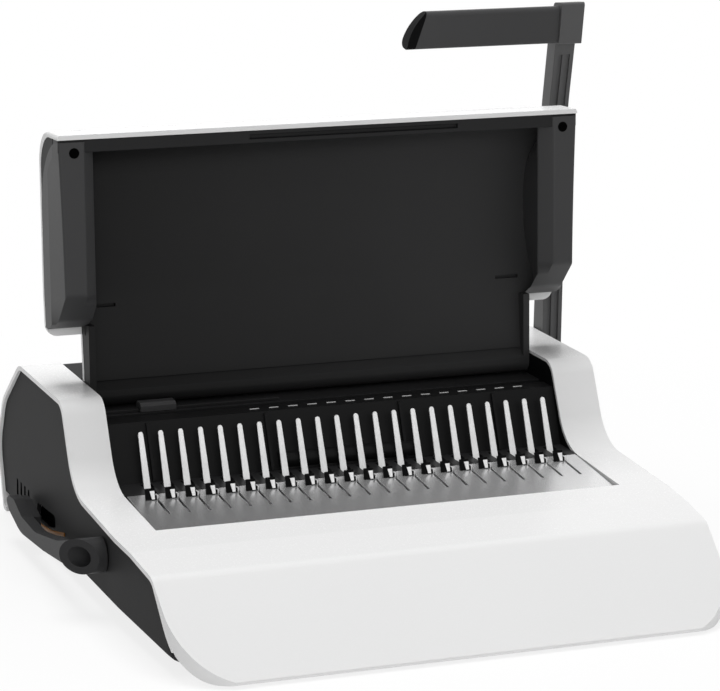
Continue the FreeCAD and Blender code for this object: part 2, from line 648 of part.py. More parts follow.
arm = arm.cut(solid_rod(arm_in - 1.0, arm_out - 2.0, pivot.y, pivot.z, num(S.shaft_radius)))
shape_part("handle_arm", arm.removeSplitter())
grip_low, grip_high = arm_top, arm_top + num(S.grip_tall)
grip_foot = pivot.y - num(S.grip_front)
grip_head = grip_foot - num(S.grip_lean)
elbow_top = arm_top + num(S.elbow_tall)
elbow_face = Part.Face(rounded_wire([
    (grip_foot - 1.6, arm_top, 1.0), (grip_head - 2.4, elbow_top, 2.0),
    (grip_head + num(S.grip_deep) - 1.0, elbow_top - 1.5, 4.0), (arm_rear + 1.5, arm_top, 3.0)]))
elbow_from = arm_in - 0.5
shape_part("handle_elbow", slab(elbow_face, elbow_from, elbow_from + num(S.elbow_wide)))
grip_face = Part.Face(rounded_wire([
    (grip_foot, grip_low, 3.0), (grip_head, grip_high, 4.0),
    (grip_head + 0.7 * num(S.grip_deep), grip_high - 0.5, 4.0),
    (grip_foot + num(S.grip_deep), grip_low + 2.0, 5.0)]))
grip_from = elbow_from - num(S.grip_length)
grip_top_from = grip_from + num(S.grip_slant)
low_end, high_end = V(grip_from, front, grip_low), V(grip_top_from, front, grip_high)
slant = (high_end - low_end) * 0.2
ahead_end = V(-30.0, 0, 0)
sliced = Part.Face(Part.makePolygon([
    low_end - slant, high_end + slant, high_end + slant + ahead_end, low_end - slant + ahead_end,
    low_end - slant]))
grip = slab(grip_face, grip_from - 5.0, elbow_from).cut(sliced.extrude(V(0, rear - front, 0)))
shape_part("handle_grip", grip)
bulge = V(grip_from - 2.6, front, grip_low + 0.53 * num(S.grip_tall))
cap_low = V(grip_from - 6.0, front, grip_low)
cap_edges = [Part.LineSegment(cap_low, low_end).toShape(), Part.LineSegment(low_end, high_end).toShape(),
             Part.Arc(high_end, bulge, cap_low).toShape()]
cap_space = Part.Face(Part.Wire(cap_edges)).extrude(V(0, rear - front, 0))
shape_part("grip_end_cap", slab(grip_face, grip_from - 9.0, elbow_from).common(cap_space))
cap_face = Part.Face(Part.makePolygon([
    pivot + V(arm_out, 13.0 * math.cos(math.radians(15.0 * step)), 13.0 * math.sin(math.radians(15.0 * step)))
    for step in range(25)]))
shape_part("pivot_cap", cap_face.extrude(V(2.0, 0, 0)))

# Lid, drawn upright round its hinge axis and leaned back as a whole
lid_half = num(S.lid_width) / 2.0
neck_half = num(S.lid_neck) / 2.0
notch_z = num(S.lid_notch)
lid_high = num(S.lid_length)
back = num(S.lid_back)
ridge = num(S.lid_front)
skin = num(S.lid_skin)
hinge = V(0, num(S.lid_hinge_y), num(S.lid_hinge_z))
leaning = FreeCAD.Rotation(V(1, 0, 0), -num(S.lid_lean))


def lid_outline(inset):
    """Return a tall block with the lid's front outline, wings over a narrower neck, set in all round."""
    wide, neck, low, high = lid_half - inset, neck_half - inset, notch_z + inset, lid_high - inset
    corner = num(S.lid_corner)
    face = Part.Face(rounded_wire([
        (neck, -9.0, 0.0), (neck, low, 0.0), (wide, low, 2.0 * corner), (wide, high + 1.0, corner),
        (-wide, high + 1.0, corner), (-wide, low, 2.0 * corner), (-neck, low, 0.0), (-neck, -9.0, 0.0)]))
    face.rotate(V(), V(0, 0, 1), -90)
    face.translate(V(0, 2.0 * ridge, 0))
    return face.extrude(V(0, -4.0 * ridge, 0))


def lid_layer(depth):
    """Return the lid's side profile as a block along X, its back and crown set in by a depth."""
    rear_y, crown_z, ahead_y = back - depth, lid_high - depth, ridge - depth
    face = Part.Face(rounded_wire([
        (ahead_y, crown_z, 0.0), (rear_y, crown_z, num(S.lid_crown) - depth), (rear_y, 1.7 * notch_z, 90.0),
        (rear_y - 5.0, 0.4 * notch_z, 0.0), (rear_y - 5.0, -9.0, 0.0), (ahead_y, -9.0, 0.0)]))
    return slab(face, -lid_half - 9.0, lid_half + 9.0)


inside = lid_layer(skin)
liner_depth = skin + num(S.lid_liner)
hollow_lid = lid_layer(liner_depth)
crown = lid_layer(0.0).cut(inside).common(lid_outline(0.0))
crown = crown.cut(solid_box(-lid_half, lid_half, 2.0 * ridge, ridge, -9.0, lid_high + 9.0))
crown = crown.cut(solid_box(-lid_half, lid_half, ridge, 2.0 * back, -9.0, 9.0))
shape_part("lid_shell", crown.removeSplitter(), hinge, leaning)
liner_front = back - liner_depth
rail_low = lid_high - skin - 9.0
rail_rear = ridge + 14.0
liner = inside.cut(hollow_lid).common(lid_outline(0.3))
liner = liner.common(solid_box(-lid_half, lid_half, rail_rear, 2.0 * back, 10.0, lid_high))
barrel_half, barrel_radius = neck_half - 0.3, num(S.hinge_radius) + 4.0
barrel = solid_rod(-barrel_half, barrel_half, 0, 0, barrel_radius)
strap = Part.Face(rounded_wire([
    (5.0, 0.0, 0.0), (5.0, 13.0, 0.0), (liner_front, 13.0, 0.0), (-barrel_radius, 4.0, 0.0),
    (-barrel_radius, 0.0, 0.0)]))
liner = liner.fuse(barrel).fuse(slab(strap, -barrel_half, barrel_half))
for side in (-1, 1):
    wing = sorted((side * neck_half, side * lid_half))
    liner = liner.cut(solid_box(wing[0], wing[1], 2.0 * ridge, 2.0 * back, -9.0, notch_z + 8.0))
    flange = sorted((side * (barrel_half - 4.7), side * barrel_half))
    liner = liner.fuse(solid_box(flange[0], flange[1], -barrel_radius, 5.0, 0.0, notch_z + 8.0))
pin_from = neck_half - 28.0
pin_to = web_out - 0.5
for side in (-1, 1):
    ends = sorted((side * pin_from, side * (neck_half + 4.0)))
    liner = liner.cut(solid_rod(ends[0], ends[1], 0, 0, num(S.hinge_radius)))
    slot_x = side * (neck_half - 14.0)
    for slot_z in (notch_z + 13.0, notch_z + 19.0):
        liner = liner.cut(solid_box(slot_x - 9.0, slot_x + 9.0, liner_front - 1.0, liner_front + 2.0,
                                    slot_z, slot_z + 2.5))
shape_part("lid_liner", liner.removeSplitter(), hinge, leaning)
hinge_pins = [solid_rod(-pin_to, -pin_from, 0, 0, num(S.hinge_radius)),
              solid_rod(pin_from, pin_to, 0, 0, num(S.hinge_radius))]
shape_part("lid_hinge_pins", Part.makeCompound(hinge_pins), hinge, leaning)


def bolster(side):
    """Return the deep side wall of the lid with a broad front face and a sloping lower end."""
    section = [V(lid_half - 0.5, back, 0), V(lid_half - 0.5, ridge + 20.0, 0), V(lid_half - 3.0, ridge, 0),
               V(lid_half - 18.0, ridge, 0), V(lid_half - 19.5, liner_front - 14.0, 0),
               V(lid_half - 22.0, liner_front - 5.0, 0), V(lid_half - 30.0, liner_front, 0),
               V(lid_half - 30.0, back, 0)]
    section = [V(side * p.x, p.y, p.z) for p in section]
    shape = Part.Face(Part.makePolygon(section + section[:1])).extrude(V(0, 0, lid_high))
    side_view = Part.Face(rounded_wire([
        (back, notch_z + 0.5, 0.0), (back, lid_high, 0.0), (ridge + 6.0, lid_high, 0.0),
        (ridge, lid_high - 38.0, 40.0), (ridge, notch_z + 34.0, 5.0), (ridge + 20.0, notch_z + 14.0, 6.0)]))
    shape = shape.common(slab(side_view, -lid_half, lid_half)).common(inside)
    shape = shape.cut(liner).cut(solid_box(-lid_half, lid_half, ridge - 9.0, rail_rear, rail_low, lid_high))
    screw = Part.makeCylinder(3.2, 12.0, V(side * (lid_half - 11.0), ridge - 4.0, rail_low - 3.8), V(0, 1, 0))
    return max(shape.cut(screw).Solids, key=lambda solid: solid.Volume)


shape_part("lid_bolster_left", bolster(-1), hinge, leaning)
shape_part("lid_bolster_right", bolster(1), hinge, leaning)
rail = solid_box(-lid_half + 0.5, lid_half - 0.5, ridge + 1.0, rail_rear, rail_low, lid_high).common(inside)
rail = rail.cut(solid_box(-55.0, 100.0, ridge, ridge + 4.0, rail_low + 3.0, rail_low + 6.0))
shape_part("lid_top_rail", rail.removeSplitter(), hinge, leaning)

# Comb lever with its hub, the rod across the base and the cranks
lever_y, lever_z = num(S.lever_y), num(S.lever_z)
lever_out = left_out - num(S.lever_outer)
lever_in = left_out + num(S.panel_inset) - 1.0
tip_y = lever_y + num(S.lever_reach)
lever_face = Part.Face(rounded_wire([
    (lever_y, lever_z - 11.8, 0.0), (lever_y + 91.0, lever_z - 22.5, 90.0),
    (lever_y + 152.0, lever_z - 27.0, 60.0),
    (tip_y - 6.0, lever_z - 19.0, 12.0), (tip_y + 2.0, lever_z - 12.5, 4.0),
    (tip_y - 6.0, lever_z - 8.5, 4.0),
    (tip_y - 20.0, lever_z - 7.5, 10.0), (lever_y + 148.0, lever_z - 14.5, 20.0),
    (lever_y + 112.0, lever_z - 15.5, 60.0), (lever_y + 55.0, lever_z - 5.0, 60.0),
    (lever_y, lever_z + 11.8, 0.0)]))
paddle = slab(lever_face, lever_out, lever_out + num(S.lever_wide))
pad_face = Part.Face(rounded_wire([
    (tip_y - 44.0, lever_z - 24.0, 0.0), (tip_y - 12.0, lever_z - 20.0, 8.0), (tip_y, lever_z - 13.0, 3.0),
    (tip_y - 6.0, lever_z - 9.5, 3.0), (tip_y - 20.0, lever_z - 8.5, 8.0),
    (tip_y - 42.0, lever_z - 15.0, 0.0)]))
paddle = paddle.fuse(slab(pad_face, lever_out + 1.0, left_out - 1.5))
hub_end = Part.makeBox(60.0, 90.0, 60.0, V(-60.0, -45.0, -30.0))
hub_end.rotate(V(), V(0, 0, 1), num(S.hub_slant))
hub_end.translate(V(lever_out, lever_y, lever_z))
hub = solid_rod(lever_out - 14.0, lever_in, lever_y, lever_z, num(S.lever_hub)).cut(hub_end)
paddle = paddle.fuse(hub)
paddle = paddle.cut(solid_rod(lever_out - 15.0, lever_out + 9.0, lever_y, lever_z, num(S.lever_bore)))
paddle = paddle.cut(solid_rod(lever_out, lever_in + 1.0, lever_y, lever_z, num(S.lever_rod)))
shape_part("comb_lever", paddle.removeSplitter())
rod_from = S.body_shift - S.body_width / 2 - 5.0
keep(rod("lever_shaft", rod_from, S.lever_y, S.lever_z, S.lever_rod,
         web_x + S.web_thick - rod_from), "lever_shaft")
crank_x = num(web_x) - num(S.crank_setback)
swing = num(S.crank_radius) * math.sqrt(0.5)
cranks = []
for x, direction in ((-crank_x, -1), (crank_x, 1)):
    arm_ends = sorted((x, x + 5.0 * direction))
    web_face = Part.Face(rounded_wire([
        (lever_y - 5.0, lever_z + 6.0, 0.0), (lever_y + 5.0, lever_z - 6.0, 0.0),
        (lever_y + swing + 3.6, lever_z + swing - 3.6, 0.0),
        (lever_y + swing - 3.6, lever_z + swing + 3.6, 0.0)]))
    crank = slab(web_face, arm_ends[0], arm_ends[1])
    boss_radius = num(S.lever_rod) + 4.0
    boss_turns = [math.radians(30.0 * step) for step in range(13)]
    boss_ring = Part.Face(Part.makePolygon([
        V(0, lever_y + boss_radius * math.cos(turn), lever_z + boss_radius * math.sin(turn))
        for turn in boss_turns]))
    crank = crank.fuse(slab(boss_ring, arm_ends[0], arm_ends[1]))
    crank = crank.cut(solid_rod(arm_ends[0] - 1.0, arm_ends[1] + 1.0, lever_y, lever_z, num(S.lever_rod)))
    pin_ends = sorted((x, x + 15.0 * direction))
    crank_pin = solid_rod(pin_ends[0], pin_ends[1], lever_y + swing, lever_z + swing, num(S.crank_pin))
    crank = crank.fuse(crank_pin)
    cranks.append(crank.removeSplitter())
shape_part("lever_cranks", Part.makeCompound(cranks))

# Hook carriage under the deck: a bar, two forks on the crank pins and the hooks
hook_low = num(S.ledge_top) - 14.4
fork_y = lever_y + swing
fork_gap = num(S.crank_pin) + 0.9
carriage = solid_box(num(first_x) - 4.0, num(first_x) + num(comb_span) + 4.0, num(S.plate_rear) - 15.0,
                     num(S.plate_rear) + 5.0, hook_low, hook_low + 3.0)
for direction in (-1, 1):
    ends = sorted((direction * (crank_x + 8.0), direction * (crank_x + 13.0)))
    low, high = lever_z + num(S.lever_rod) + 0.5, hook_low + 5.5
    fork = solid_box(ends[0], ends[1], fork_y - fork_gap - 4.0, fork_y + fork_gap + 4.0, low, high)
    fork = fork.cut(solid_box(ends[0], ends[1], fork_y - fork_gap, fork_y + fork_gap, low + 1.9, high + 1.0))
    arm_bar = solid_box(ends[0], ends[1], fork_y + fork_gap + 1.0, num(S.plate_rear) - 10.0,
                        hook_low, hook_low + 3.0)
    carriage = carriage.fuse(fork).fuse(arm_bar)
shape_part("hook_carriage", carriage.removeSplitter())


def hook_shape(index):
    """Return one hook: a thin stem in its slit, with a leaning wedge above the deck."""
    y, z = num(S.plate_rear) - 8.5, hook_low + 3.0
    side = [V(-0.5, y, z), V(-0.5, y + 5.0, z), V(-0.5, y + 5.0, z + 12.0), V(-0.5, y + 7.5, z + 15.5),
            V(-0.5, y + 6.0, z + 17.0), V(-0.5, y, z + 12.0)]
    stem = Part.Face(Part.makePolygon(side + side[:1])).extrude(V(1.0, 0, 0))
    front_view = [V(-1.0, 0, 0), V(1.0, 0, 0), V(1.6, 0, 6.6), V(-1.6, 0, 6.6)]
    wedge = Part.Face(Part.makePolygon(front_view + front_view[:1])).extrude(V(0, 1.4, 0))
    wedge.rotate(V(), V(1, 0, 0), -num(S.finger_lean))
    wedge.translate(V(-1.3, y + 3.0, z + 11.6))
    hook = stem.fuse(wedge).removeSplitter()
    hook.translate(V(num(slit_x) + index * num(S.comb_pitch), 0, 0))
    return hook


hooks = [hook_shape(index) for index in range(COMB_COUNT)]
shape_part("comb_hooks_left", Part.makeCompound(hooks[:HALF_COUNT]))
shape_part("comb_hooks_right", Part.makeCompound(hooks[HALF_COUNT:]))

# Edge guide on its rail, and the white gauge marks along the throat
rail_y = throat_rear + 4.0
keep(block("guide_rail", -web_x + 7.0, rail_y, S.throat_top, S.rail_length, 4.0, 2.0), "guide_rail")
guide = prism("edge_guide", "YZ_Plane", [
    (rail_y - 3.5, S.throat_top + S.slide_gap), (rail_y - S.slide_gap, S.throat_top + S.slide_gap),
    (rail_y - S.slide_gap, S.throat_top + 2.0 + S.slide_gap),
    (rail_y + 4.0 + S.slide_gap, S.throat_top + 2.0 + S.slide_gap),
    (rail_y + 4.0 + S.slide_gap, S.throat_top + S.slide_gap), (rail_y + 8.5, S.throat_top + S.slide_gap),
    (rail_y + 8.5, S.throat_top + 4.0), (rail_y + 6.0, S.throat_top + 6.5),
    (rail_y - 1.0, S.throat_top + 6.5),
    (rail_y - 3.5, S.throat_top + 4.5)], S.guide_x - S.guide_wide / 2, S.guide_wide)
keep(guide, "edge_guide")
marks = []
for index in range(15):
    x = num(S.comb_shift) - 62.0 + index * num(S.comb_pitch)
    marks.append(solid_box(x - 3.4, x + 3.4, num(slope_top) - 8.0, num(slope_top) - 6.8,
                           num(S.throat_top), num(S.throat_top) + 0.3))
shape_part("gauge_marks", Part.makeCompound(marks))

# Chip drawer, pushed out to the right through the window on the left
drawer_left = S.body_shift - S.body_width / 2 + S.panel_inset + S.panel_thick + 20.0
drawer_right = S.body_shift + S.body_width / 2 - S.panel_inset
tray_body = prism("chip_drawer", "XY_Plane", rectangle(
    drawer_left, drawer_right, S.drawer_front, S.drawer_rear), S.drawer_floor, S.drawer_top - S.drawer_floor)
cut_deep(tray_body, "drawer_inside", "XY_Plane", rectangle(
    drawer_left + 2.0, drawer_right - 3.0, S.drawer_front + 2.0, S.drawer_rear - 2.0), S.drawer_top,
    S.drawer_top - S.drawer_floor - 2.0)
keep(tray_body, "chip_drawer")

doc.recompute()
os.makedirs("parts", exist_ok=True)
for item in doc.Objects:
    if "Invalid" in item.State or "Error" in item.State:
        raise RuntimeError("%s did not compute" % item.Name)
for name, item in KEPT:
    if item.Shape.isNull() or not item.Shape.isValid() or item.Shape.Volume <= 0:
        raise RuntimeError("%s has no sound solid" % name)
for stale in os.listdir("parts"):
    os.remove(os.path.join("parts", stale))
for name, item in KEPT:
    item.Shape.exportStep("parts/%s.step" % name)
    box = item.Shape.BoundBox
    print("%-20s solids %3d volume %9.0f  X %7.1f %7.1f  Y %7.1f %7.1f  Z %6.1f %6.1f" % (
        name, len(item.Shape.Solids), item.Shape.Volume,
        box.XMin, box.XMax, box.YMin, box.YMax, box.ZMin, box.ZMax))
print("sub-parts", len(KEPT))
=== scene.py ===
"""Comb binding machine: finishes, fine pieces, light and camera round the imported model.

Meshes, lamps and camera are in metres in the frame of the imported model: X to the right, Y to the back, Z up.
The classes of the fine pieces hold their sizes in millimetres and turn them into metres when they build.
"""

import json
import logging
import math
from dataclasses import dataclass
from enum import Enum

import bmesh
import bpy
import numpy as np
from mathutils import Matrix, Vector


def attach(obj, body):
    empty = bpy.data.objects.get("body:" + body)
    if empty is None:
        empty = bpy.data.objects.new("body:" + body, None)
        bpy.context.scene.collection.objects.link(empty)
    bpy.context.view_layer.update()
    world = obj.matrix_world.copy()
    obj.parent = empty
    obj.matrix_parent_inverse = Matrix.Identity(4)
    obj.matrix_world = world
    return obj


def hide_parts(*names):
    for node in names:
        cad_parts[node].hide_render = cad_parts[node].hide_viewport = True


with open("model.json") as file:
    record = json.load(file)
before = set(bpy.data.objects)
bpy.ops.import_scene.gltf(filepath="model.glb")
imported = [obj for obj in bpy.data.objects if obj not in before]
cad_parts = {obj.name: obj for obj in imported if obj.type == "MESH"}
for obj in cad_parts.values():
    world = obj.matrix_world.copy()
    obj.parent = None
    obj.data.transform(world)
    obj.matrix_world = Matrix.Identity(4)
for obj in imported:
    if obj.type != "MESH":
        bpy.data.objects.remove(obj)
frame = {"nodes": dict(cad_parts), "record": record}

LOG = logging.getLogger("comb_binding_machine")
MM = 0.001
Triple = tuple[float, float, float]
Pair = tuple[float, float]
Outline = tuple[Pair, ...]
Corners = tuple[Triple, ...]

# Nearly all of a noise's values lie between these two
NOISE_LOW, NOISE_HIGH = 0.3, 0.7


class Body(Enum):
    """The bodies that carry fine pieces."""

    BASE = "base"
    LID = "lid"
    HOOKS = "hook_carriage"


class Side(Enum):
    """The two sides of the machine, each with the sign of its X."""

    LEFT = -1.0
    RIGHT = 1.0


class Axis(Enum):
    """Direction in which a metal's brushing runs."""

    X = (1.0, 0.0, 0.0)
    Y = (0.0, 1.0, 0.0)
    Z = (0.0, 0.0, 1.0)


class Shader:
    """One material with a Principled shader, and short ways to add nodes to it."""

    def __init__(self, name: str) -> None:
        """Start an empty material.

        Args:
            name: name of the material.
        """
        self.material = bpy.data.materials.new(name)
        self.material.use_nodes = True
        self.tree = self.material.node_tree
        self.main = self.tree.nodes["Principled BSDF"]
        self.place = self.add("ShaderNodeTexCoord").outputs["Object"]

    def add(self, kind: str, **settings: object) -> bpy.types.Node:
        """Add a node and set its properties.

        Args:
            kind: type name of the node.
            settings: properties of the node by name.

        Returns:
            The new node.
        """
        node = self.tree.nodes.new(kind)
        for name, value in settings.items():
            setattr(node, name, value)
        return node

    def join(self, source: bpy.types.NodeSocket, target: bpy.types.NodeSocket) -> None:
        """Link an output to an input."""
        self.tree.links.new(source, target)

    def fix(self, **values: object) -> None:
        """Set constant inputs of the Principled shader by their names with underscores."""
        for name, value in values.items():
            self.main.inputs[name.replace("_", " ")].default_value = value

    def noise(self, scale: float, detail: float, stretch: Triple = (1.0, 1.0, 1.0)) -> bpy.types.NodeSocket:
        """Add a noise on Object coordinates.

        Args:
            scale: waves per metre.
            detail: octaves of the noise.
            stretch: scale along each axis.

        Returns:
            The factor output.
        """
        mapping = self.add("ShaderNodeMapping")
        mapping.inputs["Scale"].default_value = stretch
        noise = self.add("ShaderNodeTexNoise")
        noise.inputs["Scale"].default_value = scale
        noise.inputs["Detail"].default_value = detail
        self.join(self.place, mapping.inputs["Vector"])
        self.join(mapping.outputs["Vector"], noise.inputs["Vector"])
        return noise.outputs["Fac"]

    def roughen(self, factor: bpy.types.NodeSocket, low: float, high: float) -> None:
        """Set the roughness by a noise.

        Args:
            factor: output of the noise.
            low: roughness where the noise is low.
            high: roughness where the noise is high.
        """
        ranged = self.add("ShaderNodeMapRange")
        ranged.inputs["From Min"].default_value = NOISE_LOW
        ranged.inputs["From Max"].default_value = NOISE_HIGH
        ranged.inputs["To Min"].default_value = low
        ranged.inputs["To Max"].default_value = high
        self.join(factor, ranged.inputs["Value"])
        self.join(ranged.outputs["Result"], self.main.inputs["Roughness"])

    def tint(self, factor: bpy.types.NodeSocket, dark: Triple, light: Triple) -> None:
        """Colour the shader between two colours by a noise.

        Args:
            factor: output of the noise.
            dark: colour where the noise is low.
            light: colour where the noise is high.
        """
        ramp = self.add("ShaderNodeValToRGB")
        low, high = ramp.color_ramp.elements
        low.position, low.color = NOISE_LOW, (*dark, 1.0)
        high.position, high.color = NOISE_HIGH, (*light, 1.0)
        self.join(factor, ramp.inputs["Fac"])
        self.join(ramp.outputs["Color"], self.main.inputs["Base Color"])

    def paint_reflection_across(self, half_width: float, left_share: float) -> None:
        """Paint a reflection into the base colour: darker towards the left of the piece, lighter to the right.

        Args:
            half_width: distance in metres from the middle to the sides, where the change ends.
            left_share: share of the colour that stays on the left; the right side keeps all of it.
        """
        apart = self.add("ShaderNodeSeparateXYZ")
        level = self.add("ShaderNodeMapRange")
        level.inputs["From Min"].default_value = -half_width
        level.inputs["From Max"].default_value = half_width
        level.inputs["To Min"].default_value = left_share
        mix = self.add("ShaderNodeVectorMath", operation="SCALE")
        colour = self.main.inputs["Base Color"].links[0].from_socket
        self.join(self.place, apart.inputs[0])
        self.join(apart.outputs["X"], level.inputs["Value"])
        self.join(colour, mix.inputs[0])
        self.join(level.outputs["Result"], mix.inputs["Scale"])
        self.join(mix.outputs[0], self.main.inputs["Base Color"])

    def raise_bump(self, factor: bpy.types.NodeSocket, depth: float) -> None:
        """Drive the shader's normal by a noise.

        Args:
            factor: output of the noise.
            depth: height of the bumps in metres.
        """
        bump = self.add("ShaderNodeBump")
        bump.inputs["Distance"].default_value = depth
        self.join(factor, bump.inputs["Height"])
        self.join(bump.outputs["Normal"], self.main.inputs["Normal"])


def shade(colour: Triple, amount: float) -> Triple:
    """Return a colour made lighter or darker by a share of itself."""
    return tuple(min(1.0, channel * (1.0 + amount)) for channel in colour)


@dataclass(frozen=True)
class MouldedPlastic:
    """A moulded plastic with a fine grain and a slow change of tone, which may carry a painted reflection that
    darkens it towards the left.
    """

    name: str
    colour: Triple
    roughness: float
    grain: float
    grain_depth: float
    tone: float = 0.03
    specular: float = 0.5
    left_share: float = 1.0
    half_width: float = 0.19
    octaves: float = 3.0
    tone_waves: float = 9.0
    roughness_play: float = 0.1

    def build(self) -> bpy.types.Material:
        """Make the plastic as a node material.

        Returns:
            The material.
        """
        shader = Shader(self.name)
        grain = shader.noise(self.grain, self.octaves)
        cloud = shader.noise(self.tone_waves, self.octaves)
        shader.tint(cloud, shade(self.colour, -self.tone), shade(self.colour, self.tone))
        # painted reflection: the colour darkens towards the left
        if self.left_share < 1.0:
            shader.paint_reflection_across(self.half_width, self.left_share)
        play = self.roughness_play * self.roughness
        shader.roughen(grain, self.roughness - play, self.roughness + play)
        shader.raise_bump(grain, self.grain_depth)
        shader.fix(Specular_IOR_Level=self.specular)
        return shader.material


@dataclass(frozen=True)
class BrushedSteel:
    """Steel with fine scratches along one axis, which may carry a painted reflection that darkens it towards
    the left.
    """

    name: str
    colour: Triple
    roughness: float
    along: Axis
    streak: float = 0.1
    depth: float = 0.00002
    metallic: float = 1.0
    left_share: float = 1.0
    half_width: float = 0.165
    scratches: float = 900.0
    octaves: float = 2.0
    pull: float = 0.985
    roughness_play: float = 0.07
    anisotropy: float = 0.3

    def build(self) -> bpy.types.Material:
        """Make the steel as a node material; the noise is drawn out along the brushing.

        Returns:
            The material.
        """
        shader = Shader(self.name)
        stretch = tuple(1.0 - self.pull * part for part in self.along.value)
        lines = shader.noise(self.scratches, self.octaves, stretch)
        shader.tint(lines, shade(self.colour, -self.streak), shade(self.colour, self.streak))
        # painted reflection: the colour darkens towards the left
        if self.left_share < 1.0:
            shader.paint_reflection_across(self.half_width, self.left_share)
        play = self.roughness_play * self.roughness
        shader.roughen(lines, self.roughness - play, self.roughness + play)
        shader.raise_bump(lines, self.depth)
        shader.fix(Metallic=self.metallic, Anisotropic=self.anisotropy)
        return shader.material


@dataclass(frozen=True)
class SoftRubber:
    """Matte rubber with a fine speckle."""

    name: str
    colour: Triple
    speckle: float = 1800.0
    octaves: float = 2.0
    darker: float = -0.2
    lighter: float = 0.3
    roughness: Pair = (0.7, 0.95)
    depth: float = 0.00015

    def build(self) -> bpy.types.Material:
        """Make the rubber as a node material.

        Returns:
            The material.
        """
        shader = Shader(self.name)
        speck = shader.noise(self.speckle, self.octaves)
        shader.tint(speck, shade(self.colour, self.darker), shade(self.colour, self.lighter))
        shader.roughen(speck, *self.roughness)
        shader.raise_bump(speck, self.depth)
        return shader.material


FINISHES: dict[str, MouldedPlastic | BrushedSteel | SoftRubber] = {
    "white_gloss": MouldedPlastic("white_gloss", (0.82, 0.82, 0.82), roughness=0.26, grain=900.0,
                                  grain_depth=0.0000005, tone=0.004, specular=0.10),
    "charcoal": MouldedPlastic("charcoal", (0.026, 0.026, 0.0265), roughness=0.50, grain=2200.0,
                               grain_depth=0.00004, tone=0.06, specular=0.03),
    "black": MouldedPlastic("black", (0.0045, 0.0045, 0.0047), roughness=0.42, grain=2000.0,
                            grain_depth=0.00004, tone=0.08, specular=0.03),
    # the deck plate's colour fades darker to the left: a painted reflection
    "deck_steel": BrushedSteel("deck_steel", (0.80, 0.80, 0.805), roughness=0.24, along=Axis.Y,
                               streak=0.015, depth=0.0000002, metallic=0.70, left_share=0.64),
    "bright_steel": BrushedSteel("bright_steel", (0.80, 0.80, 0.80), roughness=0.45, along=Axis.Z,
                                 streak=0.06, depth=0.00002, metallic=0.4),
    "machine_steel": BrushedSteel("machine_steel", (0.50, 0.50, 0.52), roughness=0.3, along=Axis.X),
    "die_metal": BrushedSteel("die_metal", (0.58, 0.58, 0.60), roughness=0.35, along=Axis.X,
                              streak=0.08),
    "rubber": SoftRubber("rubber", (0.02, 0.02, 0.02)),
    "mark_white": MouldedPlastic("mark_white", (0.75, 0.75, 0.75), roughness=0.5, grain=1500.0,
                                 grain_depth=0.00001),
    "amber": MouldedPlastic("amber", (0.22, 0.095, 0.022), roughness=0.45, grain=1200.0,
                            grain_depth=0.00002, tone=0.08, specular=0.08),
    # the liner's colour fades much darker to the left: a painted reflection
    "liner": MouldedPlastic("charcoal_liner", (0.036, 0.036, 0.0365), roughness=0.5, grain=2400.0,
                            grain_depth=0.00004, tone=0.06, specular=0.12, left_share=0.24),
    "bolster": MouldedPlastic("charcoal_bolster", (0.036, 0.036, 0.037), roughness=0.46, grain=2400.0,
                              grain_depth=0.00004, tone=0.06, specular=0.28),
    # lighter charcoal of the elbow and arm: partly their own lighter grey, partly painted light that makes up
    # for the shade on the arm
    "elbow": MouldedPlastic("charcoal_elbow", (0.085, 0.085, 0.086), roughness=0.42, grain=2600.0,
                            grain_depth=0.00005, tone=0.06, specular=0.25),
    "lever": MouldedPlastic("charcoal_lever", (0.034, 0.034, 0.035), roughness=0.45, grain=2600.0,
                            grain_depth=0.00005, tone=0.06, specular=0.07),
    "smoked": MouldedPlastic("smoked_amber", (0.040, 0.024, 0.012), roughness=0.34, grain=1200.0,
                             grain_depth=0.00002, tone=0.08, specular=0.2),
    "satin": MouldedPlastic("satin_black", (0.015, 0.015, 0.0155), roughness=0.40, grain=2000.0,
                            grain_depth=0.00003, tone=0.08, specular=0.14),
    # painted shade: a black without gloss that stands in for the dark inside the vent slits and screw holes
    "slit": MouldedPlastic("painted_void_black", (0.002, 0.002, 0.002), roughness=0.9, grain=2000.0,
                           grain_depth=0.00001, tone=0.08, specular=0.0),
    "slope": MouldedPlastic("slope_black", (0.0075, 0.0075, 0.0077), roughness=0.42, grain=2000.0,
                            grain_depth=0.00003, tone=0.08, specular=0.08),
    "grip": MouldedPlastic("charcoal_grip", (0.050, 0.050, 0.051), roughness=0.42, grain=2600.0,
                           grain_depth=0.00005, tone=0.06, specular=0.18),
}

# CAD nodes whose finish differs from that of their slot in the record
OWN_FINISH: dict[str, str] = {
    # handle_arm takes the elbow finish: in part painted light that brightens the arm's charcoal
    "lid_liner": "liner", "lid_top_rail": "satin", "handle_arm": "elbow", "handle_elbow": "elbow",
    "handle_grip": "grip", "comb_lever": "lever", "guide_rail": "satin", "edge_guide": "bolster",
    "throat_deck": "satin", "hook_ledge": "satin", "slope_housing": "slope", "chip_drawer": "smoked",
}

# Width in millimetres of the broken edges of CAD nodes; the other nodes stay sharp
BROKEN_EDGES: dict[str, float] = {
    "main_shell": 0.6, "side_panel_left": 0.6, "side_panel_right": 0.6, "rear_cover": 0.6, "base_plate": 0.5,
    "rubber_feet": 0.8, "deck_plate": 0.25, "comb_fingers_left": 0.35, "comb_fingers_right": 0.35,
    "hook_ledge": 0.3, "slope_housing": 0.4, "throat_deck": 0.3, "lid_shell": 0.6, "lid_liner": 0.6,
    "lid_top_rail": 0.5, "handle_arm": 0.8, "handle_elbow": 1.0, "handle_grip": 1.2, "grip_end_cap": 0.6,
    "pivot_cap": 0.6, "comb_lever": 1.2, "guide_rail": 0.3, "edge_guide": 0.4, "chip_drawer": 0.5,
}

